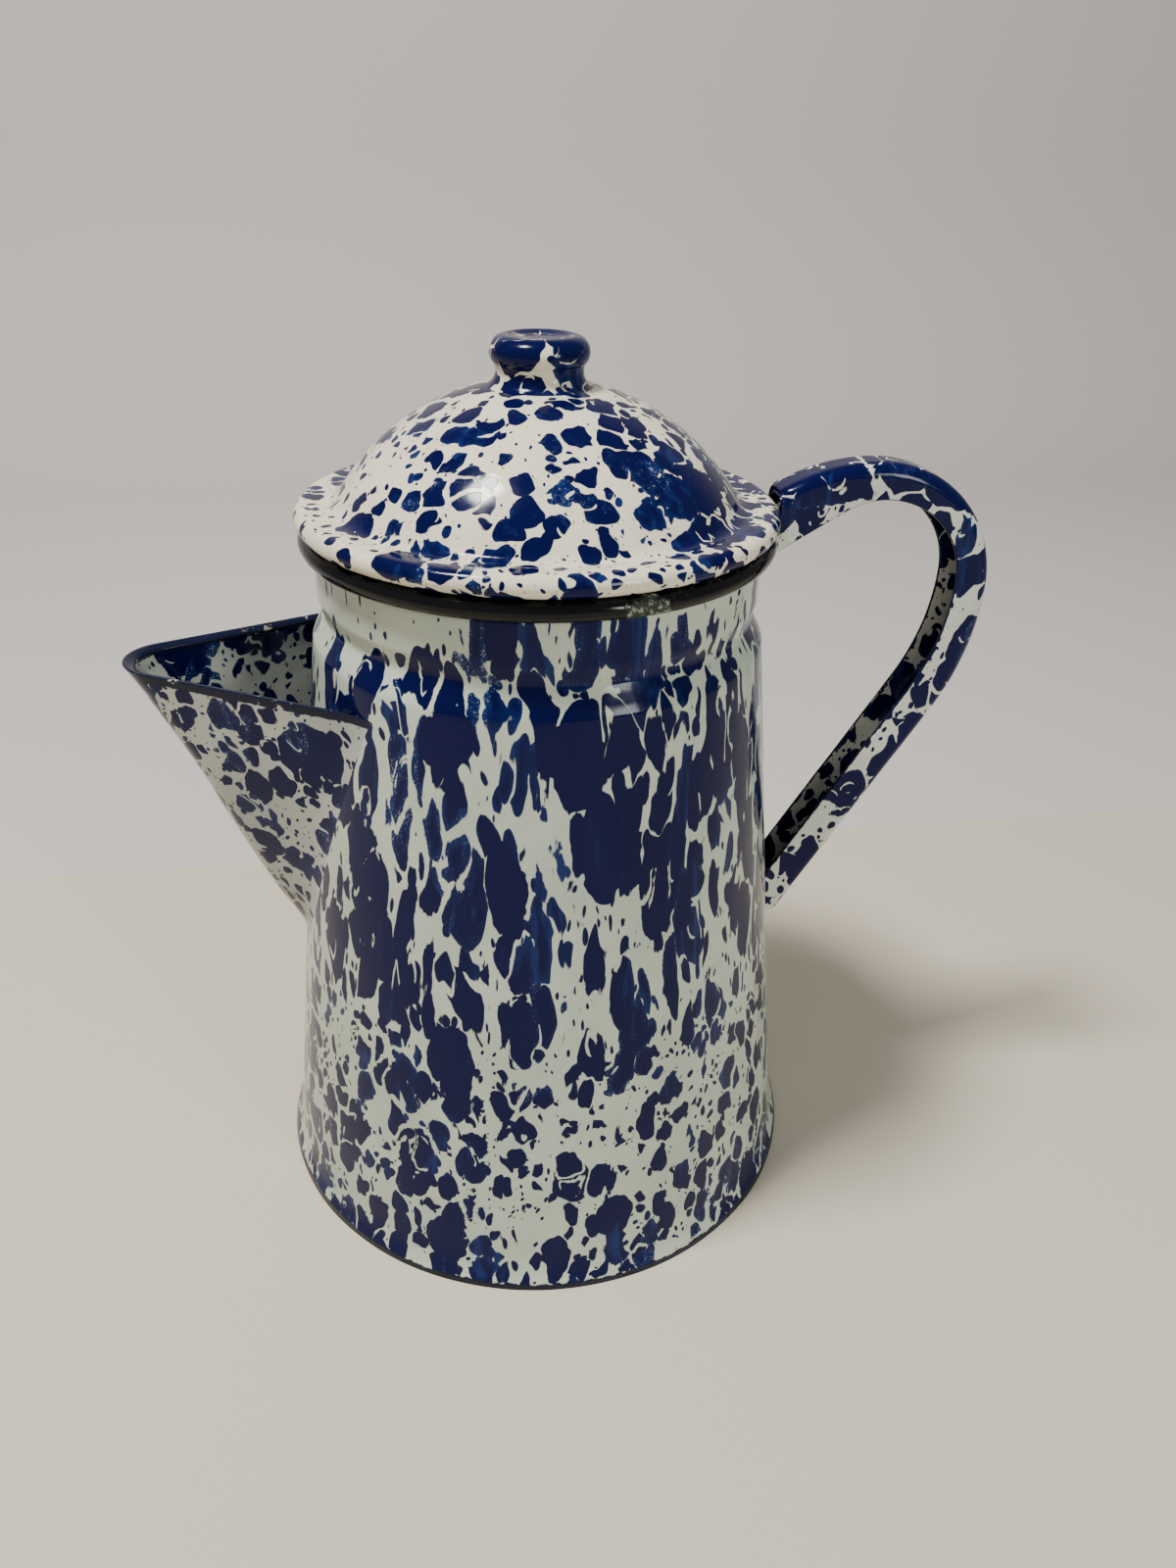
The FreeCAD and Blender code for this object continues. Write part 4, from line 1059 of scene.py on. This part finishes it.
for piece, body, node, slot, finish in (
    (ringPiece("pumpTube", insertSizes["tube"]), "pump", "pump_tube", "aluminium", aluminium),
    (pumpBell(), "pump", "pump_bell", "aluminium", aluminium),
    (ringPiece("stemStop", insertSizes["stop"], 0.6), "pump", "stem_stop", "aluminium", aluminium),
    (valveCage(), "pump", "valve_cage", "aluminium", aluminium),
    (ringPiece("valveSeat", insertSizes["seat"]), "pump", "valve_seat", "aluminium", aluminium),
    (ringPiece("valveDisc", insertSizes["disc"]), "valve", "valve_disc", "steel", steel),
    (basketCup(), "basket", "basket_cup", "aluminium", aluminium),
    (ringPiece("basketSleeve", insertSizes["sleeve"]), "basket", "basket_sleeve", "aluminium",
     aluminium),
    (spreaderPlate(), "spreader", "spreader_plate", "aluminium", aluminium),
    (spreaderFerrule(), "spreader", "spreader_ferrule", "aluminium", aluminium),
):
    settle(piece, body, node, finish)

# The wire inside the rolled rim keeps its CAD shape.
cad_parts["rim_wire"].data.materials.clear()
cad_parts["rim_wire"].data.materials.append(steel)
print("insert made")


# The camera stands a little to the left of the pot and looks down on it. place is in
# millimetres, the angles are in degrees.
cameraSizes = {"place": (-31.7, -278.5, 268.5), "turn": 9.25, "down": 29.3, "roll": 1.49,
               "lens": 27.05, "sensor": 36.0}


def makeCamera():
    # turn is to the right of +Y, down is below level, and roll is about the line of sight.
    turn, down = math.radians(cameraSizes["turn"]), math.radians(cameraSizes["down"])
    roll = math.radians(cameraSizes["roll"])
    ahead = np.array([math.sin(turn) * math.cos(down), math.cos(turn) * math.cos(down),
                      -math.sin(down)])
    right = np.array([math.cos(turn), -math.sin(turn), 0.0])
    above = np.cross(right, ahead)
    across = math.cos(roll) * right + math.sin(roll) * above
    upward = -math.sin(roll) * right + math.cos(roll) * above
    lens = bpy.data.cameras.new("camera")
    lens.lens = cameraSizes["lens"]
    lens.sensor_width = cameraSizes["sensor"]
    lens.clip_start = 0.01
    camera = bpy.data.objects.new("camera", lens)
    bpy.context.scene.collection.objects.link(camera)
    matrix = np.eye(4)
    matrix[:3, 0], matrix[:3, 1], matrix[:3, 2] = across, upward, -ahead
    matrix[:3, 3] = np.array(cameraSizes["place"]) * mm
    camera.matrix_world = Matrix(matrix)
    bpy.context.scene.camera = camera


makeCamera()


# A ceiling lamp, a window to the right of the viewer and a dim room, in metres and watts.
lamps = {
    "keyLight": {"place": (-0.46, -0.12, 1.30), "aim": (0, 0, 0.12), "size": (0.24, 0.24),
                 "power": 26.0, "colour": (1.0, 0.98, 0.94)},
    "windowLight": {"place": (0.75, -1.15, 0.50), "aim": (0, 0, 0.13), "size": (0.30, 0.45),
                    "power": 9.0, "colour": (0.95, 1.0, 0.95)},
}
roomLight = {"colour": (0.95, 0.96, 1.0, 1), "strength": 0.26}


def areaLight(name, place, aim, size, power, colour):
    # A rectangular lamp that faces its aim.
    light = bpy.data.lights.new(name, "AREA")
    light.shape = "RECTANGLE"
    light.size, light.size_y = size
    light.energy = power
    light.color = colour
    lamp = bpy.data.objects.new(name, light)
    bpy.context.scene.collection.objects.link(lamp)
    direction = Vector(aim) - Vector(place)
    lamp.location = place
    lamp.rotation_euler = direction.to_track_quat("-Z", "Y").to_euler()


for lampName, lampSizes in lamps.items():
    areaLight(lampName, **lampSizes)
world = bpy.data.worlds.new("room")
bpy.context.scene.world = world
world.use_nodes = True
room = world.node_tree.nodes["Background"]
room.inputs["Color"].default_value = roomLight["colour"]
room.inputs["Strength"].default_value = roomLight["strength"]

# The stage in metres, and where its two pale tones meet.
stageSizes = {"profile": [(-2.5, 0.0, 0), (0.95, 0.0, 0.25), (1.03, 3.0, 0)], "half": 3.0,
              "meet": 0.142, "front": (0.60, 0.54, 0.43), "back": (0.57, 0.54, 0.515)}


def makeStage():
    # A plain pale floor that curves up into a wall behind the pot.
    profile = roundedPath(stageSizes["profile"], step=0.05)
    across = np.array([-1.0, 1.0]) * stageSizes["half"]
    points = np.stack([np.repeat(across[None], len(profile), 0),
                       np.repeat(profile[:, :1], 2, 1), np.repeat(profile[:, 1:], 2, 1)], axis=-1)
    floor = gridMesh("floor", points / mm, wrapColumns=False)
    finish, tree, shader, place = newFinish("floorFinish")
    x, y, z = split(tree, place)
    meet = (y - stageSizes["meet"] / mm).step(-1.5, 1.5)
    colour = blend(tree, meet, stageSizes["front"], stageSizes["back"])
    setShader(tree, shader, Base_Color=colour, Roughness=0.9)
    floor.data.materials.append(finish)


makeStage()
print("camera, light and floor made")
